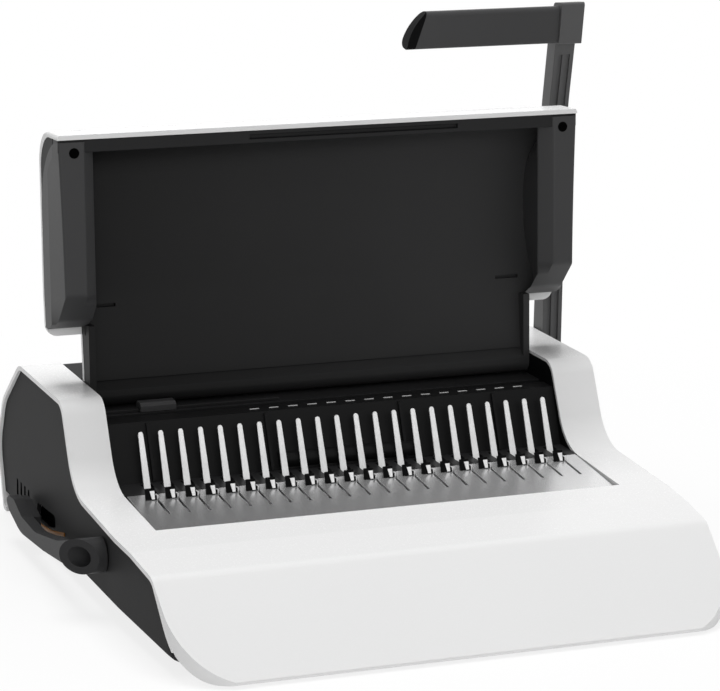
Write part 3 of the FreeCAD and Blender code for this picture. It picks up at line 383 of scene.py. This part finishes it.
# Turn of the faces from which an edge is sharp enough to be broken, on CAD nodes and on new pieces
NODE_SHARP = math.radians(40.0)
PIECE_SHARP = math.radians(30.0)


def break_edges(piece: bpy.types.Object, width: float, angle: float) -> None:
    """Round the sharp edges of a piece with a bevel of two segments.

    Args:
        piece: the object.
        width: width of the bevel in millimetres, or 0 for none.
        angle: turn of the faces in radians from which an edge is sharp.
    """
    if width > 0.0:
        bevel = piece.modifiers.new("broken_edges", "BEVEL")
        bevel.width = width * MM
        bevel.segments = 2
        bevel.limit_method = "ANGLE"
        bevel.angle_limit = angle


class EdgeFinish:
    """Welds loose triangles, shades them smooth up to an angle and breaks sharp edges."""

    smooth_angle: float = math.radians(28.0)
    weld_distance: float = 1e-6

    def __init__(self) -> None:
        """Make the node group that welds and shades."""
        group = bpy.data.node_groups.new("weld_and_shade", "GeometryNodeTree")
        group.interface.new_socket("Geometry", in_out="INPUT", socket_type="NodeSocketGeometry")
        group.interface.new_socket("Geometry", in_out="OUTPUT", socket_type="NodeSocketGeometry")
        source = group.nodes.new("NodeGroupInput")
        weld = group.nodes.new("GeometryNodeMergeByDistance")
        weld.inputs["Distance"].default_value = self.weld_distance
        turn = group.nodes.new("GeometryNodeInputMeshEdgeAngle")
        flat = group.nodes.new("FunctionNodeCompare")
        flat.operation = "LESS_THAN"
        flat.inputs["B"].default_value = self.smooth_angle
        faces = group.nodes.new("GeometryNodeSetShadeSmooth")
        edges = group.nodes.new("GeometryNodeSetShadeSmooth")
        edges.domain = "EDGE"
        result = group.nodes.new("NodeGroupOutput")
        link = group.links.new
        link(source.outputs[0], weld.inputs["Geometry"])
        link(weld.outputs["Geometry"], faces.inputs["Geometry"])
        link(faces.outputs["Geometry"], edges.inputs["Geometry"])
        link(turn.outputs["Unsigned Angle"], flat.inputs["A"])
        link(flat.outputs["Result"], edges.inputs["Shade Smooth"])
        link(edges.outputs["Geometry"], result.inputs[0])
        self.group = group

    def apply(self, piece: bpy.types.Object, broken: float = 0.0) -> None:
        """Give a piece the finish.

        Args:
            piece: the object.
            broken: width of the broken edges in millimetres, or 0 to leave them sharp.
        """
        piece.modifiers.new("weld_and_shade", "NODES").node_group = self.group
        break_edges(piece, broken, NODE_SHARP)
        weighted = piece.modifiers.new("even_normals", "WEIGHTED_NORMAL")
        weighted.keep_sharp = True


@dataclass
class PhotoCamera:
    """The camera of the photograph, as an aim point, three angles and a focal length in pixels."""

    aim: Triple = (-80.1 * MM, -220.5 * MM, 212.9 * MM)
    distance: float = 1.929
    yaw: float = math.radians(20.90)
    pitch: float = math.radians(13.49)
    roll: float = math.radians(0.56)
    focal_pixels: float = 3160.0
    image_width: float = 720.0
    sensor: float = 36.0
    clip: Pair = (0.05, 50.0)

    def build(self) -> None:
        """Create the camera and make it the scene's own."""
        ahead = Vector((math.sin(self.yaw) * math.cos(self.pitch), math.cos(self.yaw) * math.cos(self.pitch),
                        -math.sin(self.pitch)))
        level = Vector((math.cos(self.yaw), -math.sin(self.yaw), 0.0))
        upright = level.cross(ahead)
        right = math.cos(self.roll) * level + math.sin(self.roll) * upright
        above = -math.sin(self.roll) * level + math.cos(self.roll) * upright
        data = bpy.data.cameras.new("photo_camera")
        data.sensor_width = self.sensor
        data.lens = self.focal_pixels / self.image_width * self.sensor
        data.clip_start, data.clip_end = self.clip
        camera = bpy.data.objects.new("photo_camera", data)
        bpy.context.scene.collection.objects.link(camera)
        turn = Matrix((right, above, -ahead)).transposed().to_4x4()
        camera.matrix_world = Matrix.Translation(Vector(self.aim) - self.distance * ahead) @ turn
        bpy.context.scene.camera = camera


@dataclass(frozen=True)
class Lamp:
    """One square soft lamp that looks at the machine."""

    name: str
    place: Triple
    watts: float
    mirrored: bool = True
    size: float = 1.4
    target: Triple = (0.0, 0.0, 0.12)

    def build(self) -> None:
        """Create the lamp; one that isn't mirrored leaves no bright spot on metal."""
        data = bpy.data.lights.new("lamp_" + self.name, "AREA")
        data.size = self.size
        data.energy = self.watts
        lamp = bpy.data.objects.new("lamp_" + self.name, data)
        lamp.visible_glossy = self.mirrored
        bpy.context.scene.collection.objects.link(lamp)
        look = Vector(self.target) - Vector(self.place)
        turn = look.to_track_quat("-Z", "Y").to_matrix().to_4x4()
        lamp.matrix_world = Matrix.Translation(self.place) @ turn


@dataclass
class Studio:
    """Pale floor, white surround and soft lamps."""

    floor_size: float = 12.0
    floor_points: int = 9
    floor_colour: float = 0.90
    floor_mottle: float = 0.01
    mottle_waves: float = 3.0
    mottle_octaves: float = 2.0
    floor_roughness: float = 0.9
    floor_glow: float = 0.82
    glow_reach: Pair = (0.30, 0.75)
    sky: float = 0.22
    lamps: tuple[Lamp, ...] = (
        Lamp("top", (0.0, 0.4, 2.4), 50.0, mirrored=False),
        Lamp("front", (-0.6, -2.2, 1.0), 12.0),
        Lamp("right", (2.0, -1.0, 1.0), 4.0),
    )

    def build(self) -> None:
        """Make the world, the floor and the lamps."""
        self.surround()
        self.floor()
        for lamp in self.lamps:
            lamp.build()
        bpy.context.scene.view_settings.view_transform = "Standard"

    @staticmethod
    def plain_sight(tree: bpy.types.NodeTree) -> bpy.types.NodeSocket:
        """Tell the rays that see, mirror or pass to a surface from those that light it.

        Args:
            tree: the node tree of the world or the material.

        Returns:
            A factor of 1 for rays that see, and 0 for rays that light.
        """
        path = tree.nodes.new("ShaderNodeLightPath")
        total = path.outputs["Is Camera Ray"]
        for name in ("Is Glossy Ray", "Is Transmission Ray"):
            either = tree.nodes.new("ShaderNodeMath")
            either.operation = "MAXIMUM"
            tree.links.new(total, either.inputs[0])
            tree.links.new(path.outputs[name], either.inputs[1])
            total = either.outputs[0]
        return total

    def surround(self) -> None:
        """Make the world white for rays that see or mirror it, and a plain level for light."""
        world = bpy.data.worlds.new("studio_surround")
        world.use_nodes = True
        bpy.context.scene.world = world
        tree = world.node_tree
        back = tree.nodes["Background"]
        back.inputs["Color"].default_value = (1.0, 1.0, 1.0, 1.0)
        level = tree.nodes.new("ShaderNodeMapRange")
        level.inputs["To Min"].default_value = self.sky
        level.inputs["To Max"].default_value = 1.0
        tree.links.new(self.plain_sight(tree), level.inputs["Value"])
        tree.links.new(level.outputs["Result"], back.inputs["Strength"])

    def floor(self) -> None:
        """Make the floor as a grid of points; away from the machine it turns white."""
        line = np.linspace(-0.5, 0.5, self.floor_points) * self.floor_size
        across, along = np.meshgrid(line, line)
        points = np.stack([across, along, np.zeros_like(across)], axis=-1)
        floor = grid_object("studio_floor", points)
        shader = Shader("floor_paper")
        light = self.floor_colour + self.floor_mottle
        mottle = shader.noise(self.mottle_waves, self.mottle_octaves)
        shader.tint(mottle, (self.floor_colour,) * 3, (light,) * 3)
        shader.fix(Roughness=self.floor_roughness, Specular_IOR_Level=0.0)
        lit = shader.add("ShaderNodeEmission")
        lit.inputs["Strength"].default_value = 1.0
        mix = shader.add("ShaderNodeMixShader")
        share = shader.add("ShaderNodeMath", operation="MULTIPLY")
        away = shader.add("ShaderNodeVectorMath", operation="LENGTH")
        glow = shader.add("ShaderNodeMapRange", interpolation_type="SMOOTHSTEP")
        glow.inputs["From Min"].default_value, glow.inputs["From Max"].default_value = self.glow_reach
        glow.inputs["To Min"].default_value = self.floor_glow
        shader.join(shader.place, away.inputs[0])
        shader.join(away.outputs["Value"], glow.inputs["Value"])
        shader.join(glow.outputs["Result"], share.inputs[1])
        shader.join(self.plain_sight(shader.tree), share.inputs[0])
        shader.join(share.outputs[0], mix.inputs["Fac"])
        shader.join(shader.main.outputs[0], mix.inputs[1])
        shader.join(lit.outputs[0], mix.inputs[2])
        shader.join(mix.outputs[0], shader.tree.nodes["Material Output"].inputs["Surface"])
        floor.data.materials.append(shader.material)


def grid_faces(rows: int, cols: int, wrap_cols: bool = False) -> np.ndarray:
    """Number the quads of a grid of points, row by row.

    Args:
        rows: points along the first parameter.
        cols: points along the second parameter.
        wrap_cols: join the last column to the first.

    Returns:
        An array of four corner numbers per quad.
    """
    last_col = cols if wrap_cols else cols - 1
    row, col = np.meshgrid(np.arange(rows - 1), np.arange(last_col), indexing="ij")
    here, below = row * cols, (row + 1) * cols
    after = (col + 1) % cols
    return np.stack([here + col, here + after, below + after, below + col], axis=-1).reshape(-1, 4)


def mesh_object(name: str, points: np.ndarray, faces: list[np.ndarray], smooth: bool) -> bpy.types.Object:
    """Put points and faces into a new mesh object at the origin.

    Args:
        name: name of the object.
        points: array of points in metres.
        faces: arrays of corner numbers, each array with its own corner count per face.
        smooth: shade the faces smooth.

    Returns:
        The new object.
    """
    flat = np.concatenate([part.ravel() for part in faces]).astype(np.int32)
    counts = np.concatenate([np.full(len(part), part.shape[1]) for part in faces]).astype(np.int32)
    starts = np.concatenate([[0], np.cumsum(counts)[:-1]]).astype(np.int32)
    mesh = bpy.data.meshes.new(name)
    mesh.vertices.add(len(points))
    mesh.vertices.foreach_set("co", np.ascontiguousarray(points, dtype=np.float32).ravel())
    mesh.loops.add(len(flat))
    mesh.loops.foreach_set("vertex_index", flat)
    mesh.polygons.add(len(counts))
    mesh.polygons.foreach_set("loop_start", starts)
    mesh.polygons.foreach_set("use_smooth", np.full(len(counts), smooth))
    mesh.update(calc_edges=True)
    mesh.validate()
    piece = bpy.data.objects.new(name, mesh)
    bpy.context.scene.collection.objects.link(piece)
    return piece


def grid_object(name: str, points: np.ndarray) -> bpy.types.Object:
    """Make an object of one grid of points, shaped rows, columns, 3."""
    return mesh_object(name, points.reshape(-1, 3), [grid_faces(*points.shape[:2])], smooth=True)


def loft_object(name: str, sections: np.ndarray) -> bpy.types.Object:
    """Make closed solids of equal sections joined in order, with both ends capped.

    The surface takes a closed outline, section after section along a path, and joins each point to the one
    in the same place of the next section.

    Args:
        name: name of the object.
        sections: array shaped solids, sections, points, 3.

    Returns:
        The new object.
    """
    solids, rows, cols = sections.shape[:3]
    walls = grid_faces(rows, cols, wrap_cols=True)
    ring = np.arange(cols)[None, :]
    caps = np.concatenate([ring[:, ::-1], ring + (rows - 1) * cols])
    first = np.arange(solids)[:, None, None] * rows * cols
    faces = [(part[None] + first).reshape(-1, part.shape[1]) for part in (walls, caps)]
    piece = mesh_object(name, sections.reshape(-1, 3), faces, smooth=False)
    turn_outward(piece)
    return piece


def turn_outward(piece: bpy.types.Object) -> None:
    """Turn a closed piece's faces outwards.

    Args:
        piece: the object.
    """
    mesh = bmesh.new()
    mesh.from_mesh(piece.data)
    bmesh.ops.recalc_face_normals(mesh, faces=mesh.faces)
    mesh.to_mesh(piece.data)
    mesh.free()


def rounded_path(corners: Corners, steps: int = 12) -> np.ndarray:
    """Round the corners of an open path of points with radii.

    Each inner corner gives an arc that touches both its runs. Its centre lies on the line that halves the
    corner, at the radius over the sine of half the angle there, and its points stand at equal angles.

    Args:
        corners: rows of two places and a radius.
        steps: points on each arc.

    Returns:
        An array of points, two places each.
    """
    table = np.array(corners, dtype=float)
    rows = [table[0, :2]]
    for before, corner, after in zip(table[:-2], table[1:-1], table[2:]):
        back = (before[:2] - corner[:2]) / np.linalg.norm(before[:2] - corner[:2])
        ahead = (after[:2] - corner[:2]) / np.linalg.norm(after[:2] - corner[:2])
        half = 0.5 * math.acos(float(np.clip(back @ ahead, -1.0, 1.0)))
        middle = (back + ahead) / np.linalg.norm(back + ahead)
        centre = corner[:2] + middle * corner[2] / math.sin(half)
        first = corner[:2] + back * corner[2] / math.tan(half) - centre
        last = corner[:2] + ahead * corner[2] / math.tan(half) - centre
        part = np.linspace(0.0, 1.0, steps)[:, None]
        turn = math.pi - 2.0 * half
        arc = np.sin((1.0 - part) * turn) * first + np.sin(part * turn) * last
        rows.append(centre + arc / math.sin(turn))
    rows.append(table[-1, :2])
    return np.vstack(rows)


def between(outline: np.ndarray, ends: Pair) -> np.ndarray:
    """Carry an outline of Y and Z places between two places across, as two sections."""
    return np.stack([np.column_stack([np.full(len(outline), place), outline]) for place in ends])


def finish_piece(piece: bpy.types.Object, body: Body, material: bpy.types.Material,
                 broken: float = 0.0) -> None:
    """Dress a new piece, break its edges and let it ride on a body.

    Args:
        piece: the new object.
        body: the body that carries it.
        material: its finish.
        broken: width of the broken edges in millimetres, or 0 to leave them sharp.
    """
    piece.data.materials.append(material)
    break_edges(piece, broken, PIECE_SHARP)
    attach(piece, body.value)
    LOG.info("made %s", piece.name)


@dataclass
class CheekLinings:
    """Black linings on the inner walls of both cheeks, a little below their white rims."""

    wall: float = 167.0
    thickness: float = 0.25
    rim: Corners = ((-8.9, 63.76, 0.0), (14.37, 64.86, 40.2), (42.84, 120.3, 13.8), (104.0, 120.3, 0.0))
    foot: float = 63.6

    def build(self, black: bpy.types.Material) -> None:
        """Make both linings: an outline along the rim and back at the foot, carried across the thickness.

        Args:
            black: finish of the linings.
        """
        line = rounded_path(self.rim)
        low = np.array([[line[-1, 0], self.foot], [line[0, 0], self.foot]])
        outline = np.vstack([line, low])
        for side in Side:
            ends = (side.value * self.wall, side.value * (self.wall - self.thickness))
            piece = loft_object("cheek_lining_" + side.name.lower(), between(outline, ends)[None] * MM)
            finish_piece(piece, Body.BASE, black)


@dataclass
class CombHooks:
    """The comb hooks: stems in the slits, and black leaning slabs that carry a bright wedge each; the slabs
    are painted shade for the notch below each finger's foot.
    """

    first: float = -147.32
    pitch: float = 14.2875
    count: int = 22
    lean: float = math.radians(24.0)
    foot: Pair = (-18.6, 65.75)
    stem: Outline = ((-18.6, 66.6), (-16.0, 50.0), (-11.0, 50.0), (-11.0, 66.2), (-14.0, 68.4), (-18.6, 68.4))
    stem_sides: Pair = (-0.5, 0.5)
    stem_edge: float = 0.1
    shade_slab: Outline = ((-8.4, 0.0), (1.0, 0.0), (1.0, 2.6), (-1.3, 3.0), (-1.3, 7.9), (-8.0, 7.9))
    shade_slab_depths: Pair = (0.0, 1.8)
    shade_slab_edge: float = 0.3
    wedge: Outline = ((-4.2, 0.1), (-2.1, 0.1), (-1.8, 5.9), (-5.2, 5.9))
    wedge_depths: Pair = (-0.7, 0.1)
    wedge_edge: float = 0.2

    def spread(self, sections: np.ndarray) -> np.ndarray:
        """Repeat sections at every slit.

        Args:
            sections: array of sections, points, 3 for the hook at X 0.

        Returns:
            An array of hooks, sections, points, 3 in metres.
        """
        across = np.zeros((self.count, 1, 1, 3))
        across[:, 0, 0, 0] = self.first + np.arange(self.count) * self.pitch
        return (sections[None] + across) * MM

    def standing(self, outline: Outline, depths: Pair) -> np.ndarray:
        """Stand a flat outline up at the lean of the fingers, between two depths.

        A point's height along the leaning plane goes into Y by the sine of the lean and into Z by its cosine.
        The depth runs square to that plane.

        Args:
            outline: places across and up the plane.
            depths: depth of the front face and of the back face.

        Returns:
            An array of two sections, points, 3.
        """
        flat = np.array(outline)
        depth = np.array(depths)[:, None]
        along = self.foot[0] + flat[:, 1] * math.sin(self.lean) + depth * math.cos(self.lean)
        height = self.foot[1] + flat[:, 1] * math.cos(self.lean) - depth * math.sin(self.lean)
        return np.stack([np.broadcast_to(flat[:, 0], along.shape), along, height], axis=-1)

    def build(self, black: bpy.types.Material, bright: bpy.types.Material) -> None:
        """Make the stems, the black slabs of painted shade and the wedges, which ride on the hook carriage.

        Args:
            black: finish of the slabs, a painted shade.
            bright: finish of the stems and wedges.
        """
        stems = self.spread(between(np.array(self.stem), self.stem_sides))
        piece = loft_object("comb_hook_stems", stems)
        finish_piece(piece, Body.HOOKS, bright, self.stem_edge)
        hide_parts("comb_hooks_left", "comb_hooks_right")
        # painted shade: a black slab stands where the notch below each finger lies in shadow
        shade_slabs = self.spread(self.standing(self.shade_slab, self.shade_slab_depths))
        piece = loft_object("comb_hook_shade_slabs", shade_slabs)
        finish_piece(piece, Body.HOOKS, black, self.shade_slab_edge)
        wedges = self.spread(self.standing(self.wedge, self.wedge_depths))
        piece = loft_object("comb_hook_wedges", wedges)
        finish_piece(piece, Body.HOOKS, bright, self.wedge_edge)


@dataclass
class DrawerWindow:
    """The black well behind the window of the left panel, and the amber lip under its lower edge."""

    panel: float = -191.6
    outside: float = -195.0
    well_low: Pair = (64.0, 14.0)
    well_high: Pair = (125.0, 38.0)
    well_points: tuple[int, int] = (15, 9)
    well_depth: float = 7.0
    rim_share: float = 0.35
    roundness: float = 0.35
    well_wall: float = 0.6
    sill: Corners = ((43.5, 27.7, 0.0), (76.0, 20.1, 60.0), (101.0, 17.0, 60.0), (124.0, 17.2, 0.0))
    sill_steps: int = 10
    strip: Outline = ((0.3, -1.3), (-0.5, -1.3), (-0.8, -1.0), (-0.8, 1.0), (-0.5, 1.3), (0.3, 1.3))
    strip_edge: float = 0.2

    def build(self, black: bpy.types.Material, amber: bpy.types.Material) -> None:
        """Make the well as a bulged sheet and the lip as a rounded strip along the window's lower edge.

        The well's depth is a share of the full depth at the rim and grows to all of it in the middle, by a
        power of the product of two sines. The lip carries one profile along the rounded line of the sill.

        Args:
            black: finish of the well.
            amber: finish of the lip.
        """
        low, high = np.array(self.well_low), np.array(self.well_high)
        steps = [np.linspace(0.0, 1.0, count) for count in self.well_points]
        across, up = np.meshgrid(*steps, indexing="ij")
        dome = (np.sin(math.pi * across) * np.sin(math.pi * up)) ** self.roundness
        bulge = self.well_depth * (self.rim_share + (1.0 - self.rim_share) * dome)
        sheet = np.stack([self.panel + bulge, low[0] + across * (high[0] - low[0]),
                          low[1] + up * (high[1] - low[1])], axis=-1)
        piece = grid_object("window_well", sheet * MM)
        solid = piece.modifiers.new("wall", "SOLIDIFY")
        solid.thickness = self.well_wall * MM
        solid.offset = 0.0
        finish_piece(piece, Body.BASE, black)
        line = rounded_path(self.sill, self.sill_steps)
        shape = np.array(self.strip)
        rows = np.stack(np.broadcast_arrays(self.outside + shape[None, :, 0], line[:, None, 0],
                                            line[:, None, 1] + shape[None, :, 1]), axis=-1)
        finish_piece(loft_object("window_sill", rows[None] * MM), Body.BASE, amber, self.strip_edge)


@dataclass
class LidBolsters:
    """The deep side walls of the lid: a front strip, a slanted inner face and a crescent cove to the liner.

    The sizes are those of the upright lid, with Y and Z from its hinge.
    """

    hinge: Pair = (85.5, 114.0)
    lean: float = math.radians(3.0)
    section: Corners = ((191.75, 3.1, 0.0), (191.75, 20.0, 0.0), (191.95, 20.0, 0.0), (191.95, -6.0, 4.0),
                        (188.8, -34.0, 2.0), (174.0, -34.0, 2.5), (164.8, -25.0, 2.5), (165.8, 3.1, 0.0))
    section_steps: int = 6
    front: Corners = ((42.5, 14.4, 0.0), (56.0, -13.5, 5.0), (76.0, -34.0, 6.0), (186.0, -34.0, 0.0))
    front_steps: int = 8
    height: Pair = (48.4, 181.6)
    rows: int = 90
    liner: Triple = (3.1, 43.9, 131.5)
    skin: Triple = (11.2, 51.9, 131.5)
    skin_gap: float = 0.1
    rail_rear: float = -20.1
    flange_from: float = 10.0
    crease_from: Pair = (186.0, -30.0)
    crease_swing: float = 2.6
    cove: Pair = (58.0, 174.0)
    cove_edge: float = 176.0
    cove_swing: float = 10.2
    cove_power: float = 0.7
    ridge: float = -34.0
    hole: Pair = (180.5, 174.2)
    hole_rings: Outline = ((0.2, 0.05), (2.5, 0.06), (2.9, 0.3), (3.4, 0.3), (3.6, 0.1), (3.6, -1.5))
    hole_points: int = 24

    @staticmethod
    def rear_limit(up: np.ndarray, shape: Triple) -> np.ndarray:
        """Work out a rear limit: flat at first, then a quarter circle towards the front.

        Args:
            up: heights.
            shape: the flat depth, the radius and the height where the circle starts.

        Returns:
            The depth at each height.
        """
        flat, radius, start = shape
        rise = np.clip(up - start, 0.0, radius)
        return flat - radius + np.sqrt(radius ** 2 - rise ** 2)

    def surface(self) -> np.ndarray:
        """Work out the right bolster.

        The first parameter is the height and the second runs round the section. The front crease moves
        outwards with the square of the height, and the cove's edge swings inwards by a power of a sine.
        Depths are kept between the front limit and the liner, or the lid's skin for the thin flange that
        covers the liner's end.

        Returns:
            An array of rows, points, 3.
        """
        line = rounded_path(self.section, self.section_steps)
        up = np.linspace(*self.height, self.rows)[:, None]
        share = (up - self.height[0]) / (self.height[1] - self.height[0])
        crease = (line[:, 0] > self.crease_from[0]) & (line[:, 1] < self.crease_from[1])
        across = line[None, :, 0] + crease * self.crease_swing * share ** 2
        part = np.clip((up - self.cove[0]) / (self.cove[1] - self.cove[0]), 0.0, 1.0)
        across[:, -1:] = self.cove_edge - self.cove_swing * np.sin(math.pi * part) ** self.cove_power
        limit = rounded_path(self.front, self.front_steps)
        ahead = np.interp(up, limit[:, 0], limit[:, 1])
        skin = self.rear_limit(up, self.skin) - self.skin_gap
        liner = np.minimum(np.maximum(self.rear_limit(up, self.liner), self.rail_rear), skin)
        behind = np.where(line[None, :, 1] > self.flange_from, skin, liner)
        along = np.minimum(np.maximum(line[None, :, 1], ahead), behind)
        return np.stack([across, along, np.broadcast_to(up, along.shape)], axis=-1)

    def screw_well(self) -> np.ndarray:
        """Work out the right screw well, a dished plug of rings round the screw's axis.

        Each ring has a radius and stands proud of the bolster's ridge by its own amount.

        Returns:
            An array of rings, points, 3.
        """
        turn = np.linspace(0.0, 2.0 * math.pi, self.hole_points, endpoint=False)
        radius, proud = np.array(self.hole_rings).T[:, :, None]
        across, up = self.hole[0] + radius * np.cos(turn), self.hole[1] + radius * np.sin(turn)
        return np.stack([across, np.broadcast_to(self.ridge - proud, across.shape), up], axis=-1)

    def place(self, points: np.ndarray, side: Side) -> np.ndarray:
        """Set points of the right side on a side of the leaning lid.

        Args:
            points: array of points of the upright lid.
            side: the side they go to.

        Returns:
            The points in metres, turned back about the hinge by the lean.
        """
        cos, sin = math.cos(self.lean), math.sin(self.lean)
        along = self.hinge[0] + points[..., 1] * cos + points[..., 2] * sin
        height = self.hinge[1] - points[..., 1] * sin + points[..., 2] * cos
        return np.stack([points[..., 0] * side.value, along, height], axis=-1) * MM

    def build(self, plain: bpy.types.Material, dark: bpy.types.Material, edges: EdgeFinish) -> None:
        """Make both bolsters and the dark screw wells near their upper ends; the wells' black is painted shade
        for the inside of the screw holes.

        Args:
            plain: finish of the bolsters.
            dark: finish of the screw wells, a painted shade.
            edges: shading of both.
        """
        for side in Side:
            name = side.name.lower()
            piece = loft_object("bolster_" + name, self.place(self.surface(), side)[None])
            finish_piece(piece, Body.LID, plain)
            edges.apply(piece)
            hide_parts("lid_bolster_" + name)
            # painted shade: a dark plug in each screw hole
            well = loft_object("screw_well_" + name, self.place(self.screw_well(), side)[None])
            finish_piece(well, Body.LID, dark)
            edges.apply(well)


@dataclass
class VentSlitShade:
    """Dark bars over the vent slits of the left panel, a little proud of it: painted shade for the dark inside
    the slits.

    Each bar is longer than the one before it by the same step.
    """

    depths: Pair = (-195.12, -193.0)
    first: float = 139.5
    pitch: float = 10.3
    count: int = 4
    top: float = 33.5
    shortest: float = 4.5
    step: float = 2.5
    foot_width: float = 4.2
    top_width: float = 2.94

    def build(self, dark: bpy.types.Material) -> None:
        """Make the bars, each a four-cornered outline with a narrower top, carried between two depths.

        Args:
            dark: finish of the bars, a painted shade.
        """
        row = np.arange(self.count)[:, None]
        half = 0.5 * np.array([-self.foot_width, -self.top_width, self.top_width, self.foot_width])
        at_foot = np.array([True, False, False, True])
        along = self.first + row * self.pitch + half
        height = np.where(at_foot, self.top - self.shortest - self.step * row, self.top)
        depth = np.array(self.depths)[None, :, None]
        sections = np.stack(np.broadcast_arrays(depth, along[:, None], height[:, None]), axis=-1)
        # painted shade: the bars darken the slits
        finish_piece(loft_object("vent_slit_shade", sections * MM), Body.BASE, dark)


class Machine:
    """The whole machine: dresses the CAD nodes and adds the fine pieces."""

    def __init__(self) -> None:
        """Make one material for each finish."""
        self.materials = {name: finish.build() for name, finish in FINISHES.items()}
        self.edges = EdgeFinish()

    def dress_nodes(self) -> None:
        """Give each CAD node its finish, smooth shading and broken edges."""
        for row in frame["record"]["subparts"]:
            node = row["node"]
            piece = frame["nodes"][node]
            piece.data.materials.clear()
            piece.data.materials.append(self.materials[OWN_FINISH.get(node, row["material_slot"])])
            self.edges.apply(piece, BROKEN_EDGES.get(node, 0.0))
            LOG.info("dressed %s", node)

    def add_pieces(self) -> None:
        """Build the fine pieces that the CAD leaves to the scene."""
        black, bright, amber = (self.materials[name] for name in ("black", "bright_steel", "amber"))
        # slit is the painted shade of the vent slits and screw holes
        bolster, slit = self.materials["bolster"], self.materials["slit"]
        CheekLinings().build(black)
        CombHooks().build(black, bright)
        DrawerWindow().build(black, amber)
        LidBolsters().build(bolster, slit, self.edges)
        VentSlitShade().build(slit)


def main() -> None:
    """Build the scene in order."""
    logging.basicConfig(level=logging.INFO, format="%(name)s: %(message)s")
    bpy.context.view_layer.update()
    PhotoCamera().build()
    Studio().build()
    machine = Machine()
    machine.dress_nodes()
    machine.add_pieces()


if __name__ == "__main__":
    main()
